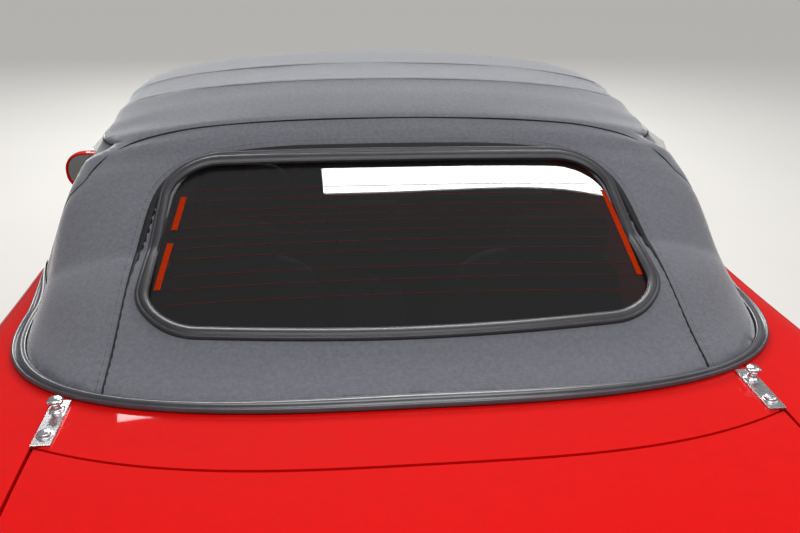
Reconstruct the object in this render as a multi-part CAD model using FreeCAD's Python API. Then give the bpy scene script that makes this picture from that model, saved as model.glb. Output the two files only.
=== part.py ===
"""Two-seat convertible car with its fabric top up, in millimetres.

The car faces -Y, +X is its left (driver's) side, +Z is up, and the ground is z = 0.
One smooth function describes the painted body and another the fabric top. Every panel
is cut from them, so that neighbours share one surface across their shut lines.
"""
import FreeCAD, Part
import math
import os

V = FreeCAD.Vector

# Overall size
LENGTH = 3945.0
TAIL_Y = LENGTH / 2

# Wheels, axles and steering
FRONT_AXLE_Y = -1192.5
REAR_AXLE_Y = 1072.5
FRONT_WHEEL_X = 707.5
REAR_WHEEL_X = 720.0
TYRE_RADIUS = 288.0
TYRE_WIDTH = 195.0
RIM_RADIUS = 196.0
AXLE_Z = TYRE_RADIUS
KINGPIN_X = 645.0
FRONT_ARCH_RADIUS = 342.0
REAR_ARCH_RADIUS = 330.0
SPINDLE_RADIUS = 30.0
RUNNING_CLEARANCE = 0.05

# Body sides: half width at the doors, the flare over the wheels, and the waist
SIDE = 814.0
FLARE = 26.0
WAIST_Z = 520.0
LOW_Z = 165.0
END_START = 1100.0
END_REACH = TAIL_Y - END_START

# Gaps: at panels that move, and at fixed joints between panels
SHUT = 5.5
JOINT = 3.0

# Doors and their vertical hinge axis
DOOR_FRONT_Y = -625.0
DOOR_REAR_Y = 400.0
DOOR_LOW_Z = 250.0
DOOR_INNER_X = 700.0
DOOR_NOSE_RADIUS = 60.0
DOOR_HINGE = V(780.0, DOOR_FRONT_Y + DOOR_NOSE_RADIUS, 0)
SILL_TOP_Z = DOOR_LOW_Z - SHUT

# Inner structure
SHELL_X = 600.0
SCUTTLE_Z = 815.0

# Bonnet and boot lid outlines
FENDER_FRONT_Y = -1560.0
BONNET_FRONT_Y = -1716.0
BONNET_REAR_Y = -775.0
BONNET_CORNER_Y = -650.0
BONNET_HALF = 600.5
LID_FRONT_Y = 1128.0
LID_CORNER_Y = 1038.0
LID_REAR_Y = 1905.0
LID_REAR_CORNER_Y = 1745.0
LID_HALF = 543.0
BUMPER_JOINT_Y = 1600.0

# Plates on the deck that take a hard roof: outer edge, front edge
BRACKET_X = 548.0
BRACKET_Y = 929.0

# Deck and belt height on the centre line, what lies on it clears it by a gap, and the
# front edge of the fabric top
DECK_Z = 902.6
DECK_GAP = 2.5
HEADER_Y = -215.0

# Middle of the rear window, on the sloping back
WINDOW_MIDDLE = V(0, 649.3, 1031.7)
WINDOW_SLOPE = 0.415


def curve(table, at):
    """A smooth line through a short table of (position, value) rows."""
    if at <= table[0][0]:
        return table[0][1]
    if at >= table[-1][0]:
        return table[-1][1]
    k = 0
    while table[k + 1][0] < at:
        k += 1
    slopes = []
    for i in (k, k + 1):
        low = table[max(i - 1, 0)]
        high = table[min(i + 1, len(table) - 1)]
        slopes.append((high[1] - low[1]) / (high[0] - low[0]))
    (y0, v0), (y1, v1) = table[k], table[k + 1]
    span = y1 - y0
    t = (at - y0) / span
    return (
        v0 * (1 + 2 * t) * (1 - t) ** 2
        + slopes[0] * span * t * (1 - t) ** 2
        + v1 * t * t * (3 - 2 * t)
        + slopes[1] * span * t * t * (t - 1)
    )


def blend(a, b, t):
    return a + (b - a) * t


def smooth_max(a, b, radius):
    reach = max(radius - abs(a - b), 0.0)
    return max(a, b) + reach * reach / (4.0 * radius)


# Height of the body's top along the centre line: (y, z)
TOP_LINE = (
    (-1973, 540), (-1900, 592), (-1700, 672), (-1400, 762), (-1100, 818), (-775, 862),
    (-300, 882), (200, 899), (400, DECK_Z), (520, DECK_Z), (1020, DECK_Z), (1130, DECK_Z),
    (1500, 896), (1800, 880), (1973, 838),
)

# How much the top falls away to the sides: (y, drop in mm per square mm of x)
CROWN_LINE = ((-1973, 80e-6), (-1200, 66e-6), (-500, 36e-6), (0, 31e-6), (1973, 31e-6))


def half_width(y, z):
    """Half width of the body sides, without the rounding of the ends."""
    front = math.exp(-((y - FRONT_AXLE_Y) / 300.0) ** 2)
    rear = math.exp(-((y - REAR_AXLE_Y) / 340.0) ** 2)
    wide = SIDE + FLARE * (front + rear)
    if z > WAIST_Z:
        return wide - 78.0 * ((z - WAIST_Z) / 345.0) ** 1.5
    return wide - 72.0 * ((WAIST_Z - z) / 340.0) ** 2


def body_top(x, y):
    return curve(TOP_LINE, y) - curve(CROWN_LINE, y) * x * x


def body(p):
    """Below zero inside the painted body, above zero outside."""
    wide = half_width(p.y, p.z)
    past = max(abs(p.y) - END_START, 0.0)
    if p.y < 0:
        power = 2.6
        reach = END_REACH - 52.0 * (abs(p.z - 430.0) / 170.0) ** 2 * (1.0 if p.z > 430.0 else 0.5)
    else:
        power = 2.9
        reach = END_REACH - 30.0 * (abs(p.z - 470.0) / 250.0) ** 2
    reach = max(reach, 300.0)
    q = (abs(p.x) / wide) ** power + (past / reach) ** power
    side = (q ** (1.0 / power) - 1.0) * wide
    return smooth_max(side, p.z - body_top(p.x, p.y), 50.0)


# Where the back of the fabric top crosses the centre line, flaring out at its foot: (z, y)
BACK_LINE = (
    (840, 1085), (860, 1060), (903, 985), (925, 915), (950, 850), (1031.7, 649.3), (1128, 418), (1203, 300),
)

# Height of the fabric roof along the centre line, over the header and the rear bow: (y, z)
ROOF_LINE = ((-260, 1177), (-100, 1233), (60, 1233), (250, 1212), (350, 1181), (430, 1148), (640, 1030))
ROOF_CROWN = 84e-6


def belt_reach(z):
    return curve(BACK_LINE, z)


def glass_x(z):
    """Half width of the side windows."""
    rise = z - 900.0
    return 700.0 - 0.42 * rise - 0.00025 * rise * rise


def fabric_width(y, z):
    """Half width of the fabric top, which draws in behind the side windows."""
    rise = z - 900.0
    narrow = 651.0 - 0.261 * rise - 0.000136 * rise * rise
    t = min(max((y - 400.0) / 240.0, 0.0), 1.0)
    return blend(glass_x(z), narrow, t * t * (3.0 - 2.0 * t))


def fabric(p):
    """Below zero inside the fabric top, above zero outside."""
    wide = fabric_width(p.y, p.z)
    start = 600.0 - 1.01 * (p.z - 900.0)
    reach = max(belt_reach(p.z) - start, 60.0)
    past = max(p.y - start, 0.0)
    q = (abs(p.x) / wide) ** 2.93 + (past / reach) ** 2.93
    side = (q ** (1.0 / 2.93) - 1.0) * min(wide, reach)
    top = p.z - (curve(ROOF_LINE, p.y) - ROOF_CROWN * p.x * p.x)
    return smooth_max(side, top, 50.0)


def hit(shape, origin, direction, far=1500.0):
    """The point where a ray from inside leaves a shape function."""
    near = 0.0
    for _ in range(42):
        middle = (near + far) / 2
        if shape(origin + direction * middle) < 0:
            near = middle
        else:
            far = middle
    return origin + direction * near


def toward(a, b):
    step = b - a
    return step * (1.0 / step.Length)


def fan(shape, origin, low, high, count, depth, middle=None):
    """Points on a shape along rays that turn from one target to another, and points behind them.

    The points behind lie toward the rays' origin, or toward a middle that lies deeper.
    """
    middle = middle or origin
    start = toward(origin, low)
    end = toward(origin, high)
    angle = start.getAngle(end)
    outer = []
    inner = []
    for k in range(count):
        t = k / (count - 1)
        ray = start * math.sin((1 - t) * angle) + end * math.sin(t * angle)
        ray = ray * (1.0 / ray.Length)
        point = hit(shape, origin, ray)
        outer.append(point)
        inner.append(point - toward(middle, point) * depth)
    return outer, inner


def upright(row):
    """A row's last inner point moved straight under its outer one, for an upright shut edge."""
    outer, inner = row
    return outer, inner[:-1] + [V(outer[-1].x, outer[-1].y, inner[-1].z)]


def slab(outer, inner):
    """A closed solid between two grids of points with the same rows and columns."""
    surfaces = []
    for grid in (outer, inner):
        surface = Part.BSplineSurface()
        surface.interpolate(grid)
        surfaces.append(surface)
    faces = [surface.toShape() for surface in surfaces]
    for end in (0, 1):
        for iso in ("uIso", "vIso"):
            pair = []
            for surface in surfaces:
                limits = surface.bounds()
                at = limits[end] if iso == "uIso" else limits[2 + end]
                pair.append(getattr(surface, iso)(at).toShape())
            faces.append(Part.makeRuledSurface(pair[0], pair[1]))
    shell = Part.Shell(faces)
    shell.sewShape()
    solid = Part.Solid(shell)
    if solid.Volume < 0:
        solid.reverse()
    return solid


def box(x0, x1, y0, y1, z0, z1):
    return Part.makeBox(x1 - x0, y1 - y0, z1 - z0, V(x0, y0, z0))


def rod(start, end, radius):
    return Part.makeCylinder(radius, (end - start).Length, start, end - start)


def prism(points, direction):
    """A closed outline of corner points, pushed along a direction."""
    return Part.Face(Part.makePolygon(list(points) + [points[0]])).extrude(direction)


def side_prism(corners, x0, x1):
    return prism([V(x0, y, z) for y, z in corners], V(x1 - x0, 0, 0))


def rounded(corners, radius):
    """A closed wire through corners in one plane, each rounded by an arc."""
    edges = []
    count = len(corners)
    ends = []
    for k in range(count):
        before = toward(corners[k], corners[k - 1])
        after = toward(corners[k], corners[(k + 1) % count])
        half = before.getAngle(after) / 2
        setback = radius / math.tan(half)
        start = corners[k] + before * setback
        stop = corners[k] + after * setback
        centre = corners[k] + toward(V(0, 0, 0), before + after) * (radius / math.sin(half))
        middle = centre + toward(centre, corners[k]) * radius
        ends.append((start, middle, stop))
    for k in range(count):
        start, middle, stop = ends[k]
        edges.append(Part.Arc(start, middle, stop).toShape())
        edges.append(Part.LineSegment(stop, ends[(k + 1) % count][0]).toShape())
    return Part.Wire(edges)


def mirrored(shape):
    return shape.mirror(V(0, 0, 0), V(1, 0, 0))


def ring(points, centre):
    """A closed outline of (radius, x) rows turned about an axis along X."""
    outline = [V(centre.x + x, centre.y, centre.z + r) for r, x in points]
    return Part.Face(Part.makePolygon(outline + [outline[0]])).revolve(centre, V(1, 0, 0), 360)


def fused(shapes):
    return shapes[0].multiFuse(list(shapes[1:])).removeSplitter()


def arch(y, radius, x0, x1):
    return rod(V(x0, y, AXLE_Z), V(x1, y, AXLE_Z), radius)


# Painted panels

def bonnet_front(share):
    return blend(BONNET_FRONT_Y, FENDER_FRONT_Y, abs(share) ** 3)


def bonnet_rear(share):
    return blend(BONNET_REAR_Y, BONNET_CORNER_Y, share * share)


def fender():
    outer = []
    inner = []
    for y in (FENDER_FRONT_Y, -1440, -1310, -1190, -1060, -920, -790, -690, -600):
        centre = V(520, y, 470)
        low = hit(body, V(520, y, LOW_Z + 5), V(1, 0, 0))
        high = hit(body, V(BONNET_HALF - 34, y, 470), V(0, 0, 1))
        row = fan(body, centre, low, high, 21, 190)
        outer.append(row[0])
        inner.append(row[1])
    solid = slab(outer, inner)
    solid = solid.cut(box(300, BONNET_HALF + SHUT, -1700, -500, 100, 1000))
    solid = solid.cut(arch(FRONT_AXLE_Y, FRONT_ARCH_RADIUS, 400, 1000))
    pocket = box(500, DOOR_HINGE.x, DOOR_FRONT_Y - SHUT, -500, 0, 1000)
    swing = rod(DOOR_HINGE, DOOR_HINGE + V(0, 0, 1000), DOOR_NOSE_RADIUS + SHUT)
    return solid.cut(fused([pocket, swing]))


def front_bumper():
    outer = []
    inner = []
    for k in range(13):
        share = 1 - k / 6
        turn = math.radians(90 * (1 - abs(share)))
        centre = V(430 * share, FENDER_FRONT_Y - JOINT, 430)
        side = 1 if share >= 0 else -1
        ahead = V(math.cos(turn) * side, -math.sin(turn), 0)
        low = hit(body, V(centre.x, centre.y, 185), ahead)
        x = BONNET_HALF * share + SHUT * side * (share != 0)
        high = hit(body, V(x, bonnet_front(share) - SHUT, 430), V(0, 0, 1))
        row = upright(fan(body, centre, low, high, 8, 40))
        outer.append(row[0])
        inner.append(row[1])
    solid = slab(outer, inner)
    mouth = rounded([V(x, -2100, z) for x, z in ((-330, 225), (330, 225), (290, 395), (-290, 395))], 80)
    return solid.cut(Part.Face(mouth).extrude(V(0, 500, 0)))


def bonnet():
    outer = []
    for k in range(13):
        share = 1 - k / 6
        row = []
        for m in range(7):
            y = blend(bonnet_front(share), bonnet_rear(share), m / 6)
            row.append(hit(body, V(BONNET_HALF * share, y, 300), V(0, 0, 1)))
        outer.append(row)
    inner = [[p - V(0, 0, 28) for p in row] for row in outer]
    return slab(outer, inner)


def cowl():
    outer = []
    for k in range(13):
        share = 1 - k / 6
        row = []
        for m in range(3):
            y = blend(bonnet_rear(share) + SHUT + 2, bonnet_rear(share) + 62, m / 2)
            row.append(hit(body, V((SHELL_X + 4) * share, y, 300), V(0, 0, 1)))
        outer.append(row)
    inner = [[p - V(0, 0, 90) for p in row] for row in outer]
    return slab(outer, inner).cut(box(-800, 800, -900, -400, 0, SCUTTLE_Z))


DOOR_INNER_REAR_Y = 391


def door_plan():
    """The door seen from above, with a round nose about its hinge, pushed up through it."""
    outside = DOOR_HINGE.x + DOOR_NOSE_RADIUS
    inside = DOOR_INNER_X - 10
    lean = DOOR_NOSE_RADIUS * math.sqrt(0.5)
    start = V(DOOR_HINGE.x, DOOR_FRONT_Y, 0)
    end = V(outside, DOOR_HINGE.y, 0)
    nose = Part.Arc(start, DOOR_HINGE + V(lean, -lean, 0), end).toShape()
    rest = Part.makePolygon([
        end, V(outside, DOOR_REAR_Y, 0), V(inside, DOOR_INNER_REAR_Y, 0), V(inside, DOOR_FRONT_Y, 0), start,
    ])
    return Part.Face(Part.Wire([nose] + rest.Edges)).extrude(V(0, 0, 1000))


def door():
    outer = []
    inner = []
    for y in (DOOR_FRONT_Y - 20, -480, -300, -100, 100, 260, DOOR_REAR_Y + 15):
        row = []
        top = body_top(735, y) - 13
        for k in range(7):
            z = blend(DOOR_LOW_Z, top, k / 6)
            row.append(hit(body, V(0, y, z), V(1, 0, 0)))
        outer.append(row)
        inner.append([V(DOOR_INNER_X, p.y, p.z) for p in row])
    return slab(outer, inner).common(door_plan())


def sill():
    outer = []
    inner = []
    for y in (DOOR_FRONT_Y - SHUT + JOINT, -300, 0, 200, DOOR_REAR_Y + SHUT - JOINT):
        row = [hit(body, V(0, y, z), V(1, 0, 0)) for z in (LOW_Z - 8, 190, 218, SILL_TOP_Z)]
        outer.append(row)
        inner.append([V(SHELL_X, p.y, p.z) for p in row])
    post = box(SHELL_X, 672, -627.5, -596, SILL_TOP_Z - 4, SCUTTLE_Z)
    below = box(500, 1000, -700, 500, 100, LOW_Z)
    return fused([slab(outer, inner).cut(below), post])


def lid_front(share):
    return blend(LID_FRONT_Y, LID_CORNER_Y, abs(share) ** 3)


def lid_rear(share):
    return blend(LID_REAR_Y, LID_REAR_CORNER_Y, abs(share) ** 3.5)


def lid_half(y):
    past = max(y - LID_CORNER_Y, 0.0) / (LID_REAR_CORNER_Y - LID_CORNER_Y)
    return LID_HALF - 55.0 * past ** 2.2


def quarter():
    """Rear wing: the side from the door to the bumper, and its top inboard to the boot lid."""
    outer = []
    inner = []
    for y in (DOOR_REAR_Y + SHUT, 520, 680, 860, 1072, 1290, 1450, BUMPER_JOINT_Y):
        centre = V(480, y, 480)
        near_shoulder = V(540, y, 640)
        low = hit(body, V(480, y, LOW_Z + 5), V(1, 0, 0))
        high = hit(body, V(lid_half(y) + SHUT, y, 480), V(0, 0, 1))
        row = upright(fan(body, near_shoulder, low, high, 23, 210, centre))
        outer.append(row[0])
        inner.append(row[1])
    solid = slab(outer, inner)
    solid = solid.cut(arch(REAR_AXLE_Y, REAR_ARCH_RADIUS, 500, 1000))
    return solid.cut(box(200, SHELL_X, 300, 1700, 0, 846))


def deck_panel():
    """Painted band between the foot of the fabric top and the boot lid."""
    outer = []
    for k in range(13):
        share = 1 - k / 6
        row = []
        for m in range(3):
            y = blend(950 - 90 * abs(share) ** 3, lid_front(share) - SHUT, m / 2)
            row.append(hit(body, V((LID_HALF + SHUT - JOINT) * share, y, 300), V(0, 0, 1)))
        outer.append(row)
    inner = [[p - V(0, 0, 70) for p in row] for row in outer]
    return slab(outer, inner).cut(box(-800, 800, 800, 1400, 0, 850))


def boot_lid():
    outer = []
    for k in range(13):
        share = 1 - k / 6
        row = []
        for m in range(7):
            y = blend(lid_front(share), lid_rear(share), m / 6)
            row.append(hit(body, V(lid_half(y) * share, y, 300), V(0, 0, 1)))
        outer.append(row)
    inner = [[p - V(0, 0, 28) for p in row] for row in outer]
    return slab(outer, inner)


def rear_bumper():
    """Tail skin from the boot lid's edge down, rows: (turn in degrees, share of the lid's edge)."""
    rows = ((0, 1.1), (12, 1.0), (26, 0.93), (42, 0.8), (58, 0.58), (74, 0.3), (90, 0))
    rows = rows + tuple((180 - turn, -share) for turn, share in reversed(rows[:-1]))
    outer = []
    inner = []
    for turn, share in rows:
        side = 1 if share >= 0 else -1
        across = min(abs(share), 1.0) * side
        centre = V(430 * math.cos(math.radians(turn)), BUMPER_JOINT_Y + JOINT, 480)
        behind = V(math.cos(math.radians(turn)), math.sin(math.radians(turn)), 0)
        low = hit(body, V(centre.x, centre.y, 200), behind)
        y = lid_rear(across) + SHUT
        x = (lid_half(y) + SHUT) * across
        if abs(share) > 1:
            y = centre.y
            x = (lid_half(y) + SHUT) * side
        high = hit(body, V(x, y, 480), V(0, 0, 1))
        row = upright(fan(body, centre, low, high, 8, 40))
        outer.append(row[0])
        inner.append(row[1])
    return slab(outer, inner)


# Fabric top, rear window and belt moulding

# Stations over the fabric top: (y on the centre line, y at the belt)
FABRIC_ROWS = (
    (HEADER_Y, HEADER_Y), (-80, -80), (60, 60), (200, 210), (300, 325), (360, 410), (440, 510), (560, 620),
    (700, 740), (840, 850), (925, 915), (980, 955), (1035, 990),
)
FABRIC_COLUMNS = 19


def fabric_rows(lift, depth):
    """Grids over the fabric top, reaching a little below the deck."""
    outer = []
    inner = []
    for y_middle, y_side in FABRIC_ROWS:
        edge = hit(fabric, V(0, y_side, DECK_Z - 22), V(1, 0, 0))
        widest = math.atan2(edge.x, edge.z - 700.0)
        outer_row = []
        inner_row = []
        for k in range(FABRIC_COLUMNS):
            share = 1 - 2 * k / (FABRIC_COLUMNS - 1)
            y = blend(y_middle, y_side, share * share)
            ray = V(math.sin(widest * share), 0, math.cos(widest * share))
            point = hit(fabric, V(0, y, 700), ray)
            outer_row.append(point + ray * lift)
            inner_row.append(point - ray * depth)
        outer.append(outer_row)
        inner.append(inner_row)
    return outer, inner


SLOPE = toward(V(0, 0, 0), V(0, -1, WINDOW_SLOPE))
SLOPE_OUT = toward(V(0, 0, 0), V(0, WINDOW_SLOPE, 1))


def window_prism(half_low, half_high, low, high, radius):
    """An outline on the sloping back, in mm up the slope from its middle, pushed through it."""
    corners = []
    for x, up in ((-half_low, low), (half_low, low), (half_high, high), (-half_high, high)):
        corners.append(WINDOW_MIDDLE + V(x, 0, 0) + SLOPE * up - SLOPE_OUT * 90)
    return Part.Face(rounded(corners, radius)).extrude(SLOPE_OUT * 180)


def side_opening():
    corners = [V(-900, y, z) for y, z in ((-400, 700), (405, 700), (405, 1125), (-400, 1125))]
    return Part.Face(rounded(corners, 30)).extrude(V(1800, 0, 0))


def belt_edge(turn):
    """A point on the outer edge of the belt moulding, at an angle from the car's side."""
    c, s = abs(math.cos(turn)), abs(math.sin(turn))
    reach = ((c / 676.0) ** 2.77 + (s / 358.0) ** 2.77) ** (-1 / 2.77)
    side = 1 if math.cos(turn) >= 0 else -1
    return V(reach * c * side, 644 + reach * s, 0)


def fabric_foot(edge):
    """Where the fabric meets the deck, inward from a point on the moulding's edge."""
    middle = V(0, min(edge.y, 600.0), 0)
    out = toward(middle, edge)
    height = body_top(edge.x, edge.y) + DECK_GAP
    return hit(fabric, middle + V(0, 0, height), out) + out * 4


def belt_moulding():
    """Rubber strip round the foot of the fabric, just clear of the panels below."""
    forward = (-220, -165, -110, -55)
    stations = [(0, shift) for shift in forward]
    stations += [(k * 5, 0) for k in range(37)]
    stations += [(180, shift) for shift in reversed(forward)]
    sections = []
    for turn, shift in stations:
        edge = belt_edge(math.radians(turn)) + V(0, shift, 0)
        edge.x *= 1 + 0.0002 * abs(shift)
        foot = fabric_foot(edge)
        corners = []
        for share, rise in ((0, DECK_GAP), (0, 6), (0.35, 14), (0.7, 14), (1, 10), (1, DECK_GAP)):
            p = blend(edge, V(foot.x, foot.y, 0), share)
            corners.append(V(p.x, p.y, body_top(p.x, p.y) + rise))
        sections.append(Part.makePolygon(corners + [corners[0]]))
    return Part.makeLoft(sections, True, True)


def under_deck():
    """Everything a little above the deck and below it, to trim the fabric's foot."""
    points = [V(x, 380, body_top(x, 600) + DECK_GAP) for x in range(-900, 901, 300)]
    top = Part.BSplineCurve()
    top.interpolate(points)
    low = [V(900, 380, 750), V(-900, 380, 750)]
    sides = Part.makePolygon([points[-1], low[0], low[1], points[0]])
    return Part.Face(Part.Wire([top.toShape()] + sides.Edges)).extrude(V(0, 900, 0))


# Windscreen and its frame

def windscreen():
    outer = []
    inner = []
    for k in range(7):
        share = 1 - k / 3
        low = V(646 * share, bonnet_rear(share) + 66, 0)
        low.z = body_top(low.x, low.y) - 12
        high = V(556 * share, -262 + 20 * share * share, 1150 - 32 * share * share)
        row = []
        for m in range(3):
            t = m / 2
            row.append(low + (high - low) * t + V(0, -14, 14) * (4 * t * (1 - t)) * (1 - share * share))
        outer.append(row)
        inner.append([p - V(0, -3.2, 5.1) for p in row])
    return slab(outer, inner)


def quad(x0, x1, y0, y1, z):
    return Part.makePolygon([V(x0, y0, z), V(x1, y0, z), V(x1, y1, z), V(x0, y1, z), V(x0, y0, z)])


def windscreen_frame():
    outer = []
    inner = []
    for y in (-275, -245, HEADER_Y - 2):
        row = []
        for k in range(9):
            turn = math.radians(54) * (1 - k / 4)
            row.append((hit(fabric, V(0, y, 700), V(math.sin(turn), 0, math.cos(turn))), turn))
        outer.append([p for p, turn in row])
        inner.append([p - V(math.sin(turn), 0, math.cos(turn)) * 38 for p, turn in row])
    pieces = [slab(outer, inner)]
    post = Part.makeLoft([quad(646, 726, -660, -596, 846), quad(552, 590, -275, -222, 1128)], True, True)
    foot = box(620, 668, -690, -602, SCUTTLE_Z, 846)
    ledge = box(612, 726, -660, -596, 846, 852)
    for piece in (post, foot, ledge):
        pieces.append(piece)
        pieces.append(mirrored(piece))
    return fused(pieces)


# Inner structure

def tub():
    """Firewall, toe board, floor, seat bulkhead and shelf in one bent sheet, with the tunnel."""
    sheet = side_prism((
        (-735, SCUTTLE_Z), (-735, 400), (-600, 150), (470, 150), (560, 560), (1000, 560),
        (1000, 580), (545, 580), (455, 170), (-588, 170), (-715, 405), (-715, SCUTTLE_Z),
    ), -SHELL_X, SHELL_X)
    hollow = box(-95, 95, -760, 560, 100, 335)
    tunnel = box(-110, 110, -700, 520, 150, 350)
    return fused([sheet, tunnel]).cut(hollow)


def boot_tub():
    front = side_prism((
        (1000, 580), (1000, 430), (1330, 430), (1330, 330), (1600, 330), (1600, 350),
        (1350, 350), (1350, 450), (1020, 450), (1020, 580),
    ), -SHELL_X, SHELL_X)
    well = box(-420, 420, 1600, 1860, 330, 720).cut(box(-400, 400, 1590, 1840, 350, 730))
    beam = box(-300, 300, 1860, 1945, 430, 520)
    return fused([front, well, beam])


def front_structure():
    pieces = []
    for side in (1, -1):
        apron = side_prism(((-1560, 330), (-735, 330), (-735, 740), (-1400, 700), (-1560, 600)), 585, SHELL_X)
        wall = arch(FRONT_AXLE_Y, FRONT_ARCH_RADIUS + 12, 428, SHELL_X)
        apron = apron.fuse(wall).cut(arch(FRONT_AXLE_Y, FRONT_ARCH_RADIUS, 440, 700))
        apron = apron.cut(box(300, 700, -1700, -700, -100, 250))
        rail = box(370, 428, -1700, -735, 300, 400)
        for piece in (apron, rail):
            pieces.append(piece if side > 0 else mirrored(piece))
    pieces.append(box(-428, 428, -1720, -1700, 230, 560))
    pieces.append(box(-428, 428, -1700, -1670, 300, 400))
    pieces.append(box(-250, 250, -1935, -1720, 430, 500))
    return fused(pieces)


def engine():
    block = box(-200, 200, -1300, -790, 300, 700)
    gearbox = box(-85, 85, -790, -250, 185, 325)
    return fused([block, gearbox])


# Wheels, hubs and suspension

def tyre(x, y):
    half = TYRE_WIDTH / 2
    centre = V(x, y, AXLE_Z)
    outline = rounded([
        V(x - half, y, AXLE_Z + RIM_RADIUS), V(x + half, y, AXLE_Z + RIM_RADIUS),
        V(x + half, y, AXLE_Z + TYRE_RADIUS), V(x - half, y, AXLE_Z + TYRE_RADIUS),
    ], 24)
    return Part.Face(outline).revolve(centre, V(1, 0, 0), 360)


def rim(x, y):
    """Rim with spokes, hub and brake disc, turning together."""
    centre = V(x, y, AXLE_Z)
    bore = SPINDLE_RADIUS + RUNNING_CLEARANCE
    barrel = ring(((182, -100), (RIM_RADIUS, -100), (RIM_RADIUS, 100), (182, 100)), centre)
    hub = ring(((bore, -15), (70, -15), (70, 60), (bore, 60)), centre)
    disc = ring(((68, -34), (128, -34), (128, -24), (80, -24), (80, -14), (68, -14)), centre)
    spokes = []
    for k in range(5):
        spoke = Part.makeLoft([
            Part.makePolygon([V(x + 35, y - 26, 60), V(x + 62, y - 26, 60), V(x + 62, y + 26, 60),
                              V(x + 35, y + 26, 60), V(x + 35, y - 26, 60)]),
            Part.makePolygon([V(x + 50, y - 38, 188), V(x + 78, y - 38, 188), V(x + 78, y + 38, 188),
                              V(x + 50, y + 38, 188), V(x + 50, y - 38, 188)]),
        ], True, True)
        spoke.translate(V(0, 0, AXLE_Z))
        spoke.rotate(centre, V(1, 0, 0), 72 * k)
        spokes.append(spoke)
    return fused([barrel, hub, disc] + spokes)


def knuckle():
    y = FRONT_AXLE_Y
    upright = box(KINGPIN_X - 20, KINGPIN_X + 18, y - 36, y + 36, 215, 372)
    lower_pin = rod(V(KINGPIN_X, y, 168), V(KINGPIN_X, y, 216), 12)
    upper_pin = rod(V(KINGPIN_X, y, 370), V(KINGPIN_X, y, 414), 12)
    spindle = rod(V(KINGPIN_X + 10, y, AXLE_Z), V(FRONT_WHEEL_X + 58, y, AXLE_Z), SPINDLE_RADIUS)
    arm = box(KINGPIN_X - 14, KINGPIN_X + 14, y + 30, y + 119, 215, 230)
    tie_pin = rod(V(KINGPIN_X, y + 105, 225), V(KINGPIN_X, y + 105, 256), 8)
    return fused([upright, lower_pin, upper_pin, spindle, arm, tie_pin])


def tie_rod():
    y = FRONT_AXLE_Y + 105
    eye = rod(V(KINGPIN_X, y, 233), V(KINGPIN_X, y, 249), 16)
    bar = rod(V(345, y, 241), V(KINGPIN_X, y, 241), 8)
    hole = rod(V(KINGPIN_X, y, 220), V(KINGPIN_X, y, 260), 8 + RUNNING_CLEARANCE)
    return fused([eye, bar]).cut(hole)


LOWER_ARM_Z = 175
LOWER_ARM_THICK = 30
UPPER_ARM_Z = 383
UPPER_ARM_THICK = 22
ARM_EYE_RADIUS = 22
KINGPIN_RADIUS = 12
DAMPER_RADIUS = 34
RACK_AHEAD = 97
RACK_Z = 241


def arm_plate(y, inner, outer, low, thick):
    """A flat arm that narrows to the wheel; inner and outer are (x, half width)."""
    corners = [
        V(inner[0], y - inner[1], low), V(outer[0], y - outer[1], low),
        V(outer[0], y + outer[1], low), V(inner[0], y + inner[1], low),
    ]
    return prism(corners, V(0, 0, thick))


def kingpin_rod(y, low, high, radius):
    return rod(V(KINGPIN_X, y, low), V(KINGPIN_X, y, high), radius)


def rack_rod(start, stop, radius):
    y = FRONT_AXLE_Y + RACK_AHEAD
    return rod(V(start, y, RACK_Z), V(stop, y, RACK_Z), radius)


def front_suspension():
    """Crossmember, arms, dampers and the rack's housing; the knuckle's pins turn in the arms' eyes."""
    y = FRONT_AXLE_Y
    pieces = [box(-430, 430, y - 60, y + 60, 165, 215), rack_rod(-280, 280, 24)]
    pieces.append(box(-240, 240, y + 40, y + 110, 200, 225))
    for side in (1, -1):
        lower = arm_plate(y, (400, 60), (620, 16), LOWER_ARM_Z, LOWER_ARM_THICK)
        lower_eye = kingpin_rod(y, LOWER_ARM_Z, LOWER_ARM_Z + LOWER_ARM_THICK, ARM_EYE_RADIUS)
        upper = arm_plate(y, (440, 85), (630, 24), UPPER_ARM_Z, UPPER_ARM_THICK)
        upper = upper.cut(box(465, 550, y - 38, y + 38, 300, 500))
        upper_eye = kingpin_rod(y, UPPER_ARM_Z, UPPER_ARM_Z + UPPER_ARM_THICK, ARM_EYE_RADIUS)
        holes = kingpin_rod(y, 100, 450, KINGPIN_RADIUS + RUNNING_CLEARANCE)
        damper = rod(V(520, y, 190), V(492, y, 636), DAMPER_RADIUS)
        bellows = rack_rod(270, 420, 36).cut(rack_rod(278, 430, 26))
        posts = box(375, 425, y - 50, y + 50, 215, 300)
        mounts = box(150, 200, y - 50, y + 50, 215, 300)
        for piece in (fused([lower, lower_eye]).cut(holes), damper, bellows, posts, mounts):
            pieces.append(piece if side > 0 else mirrored(piece))
        arm = fused([upper, upper_eye]).cut(holes)
        pieces.append(arm if side > 0 else mirrored(arm))
    return fused(pieces)


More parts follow.
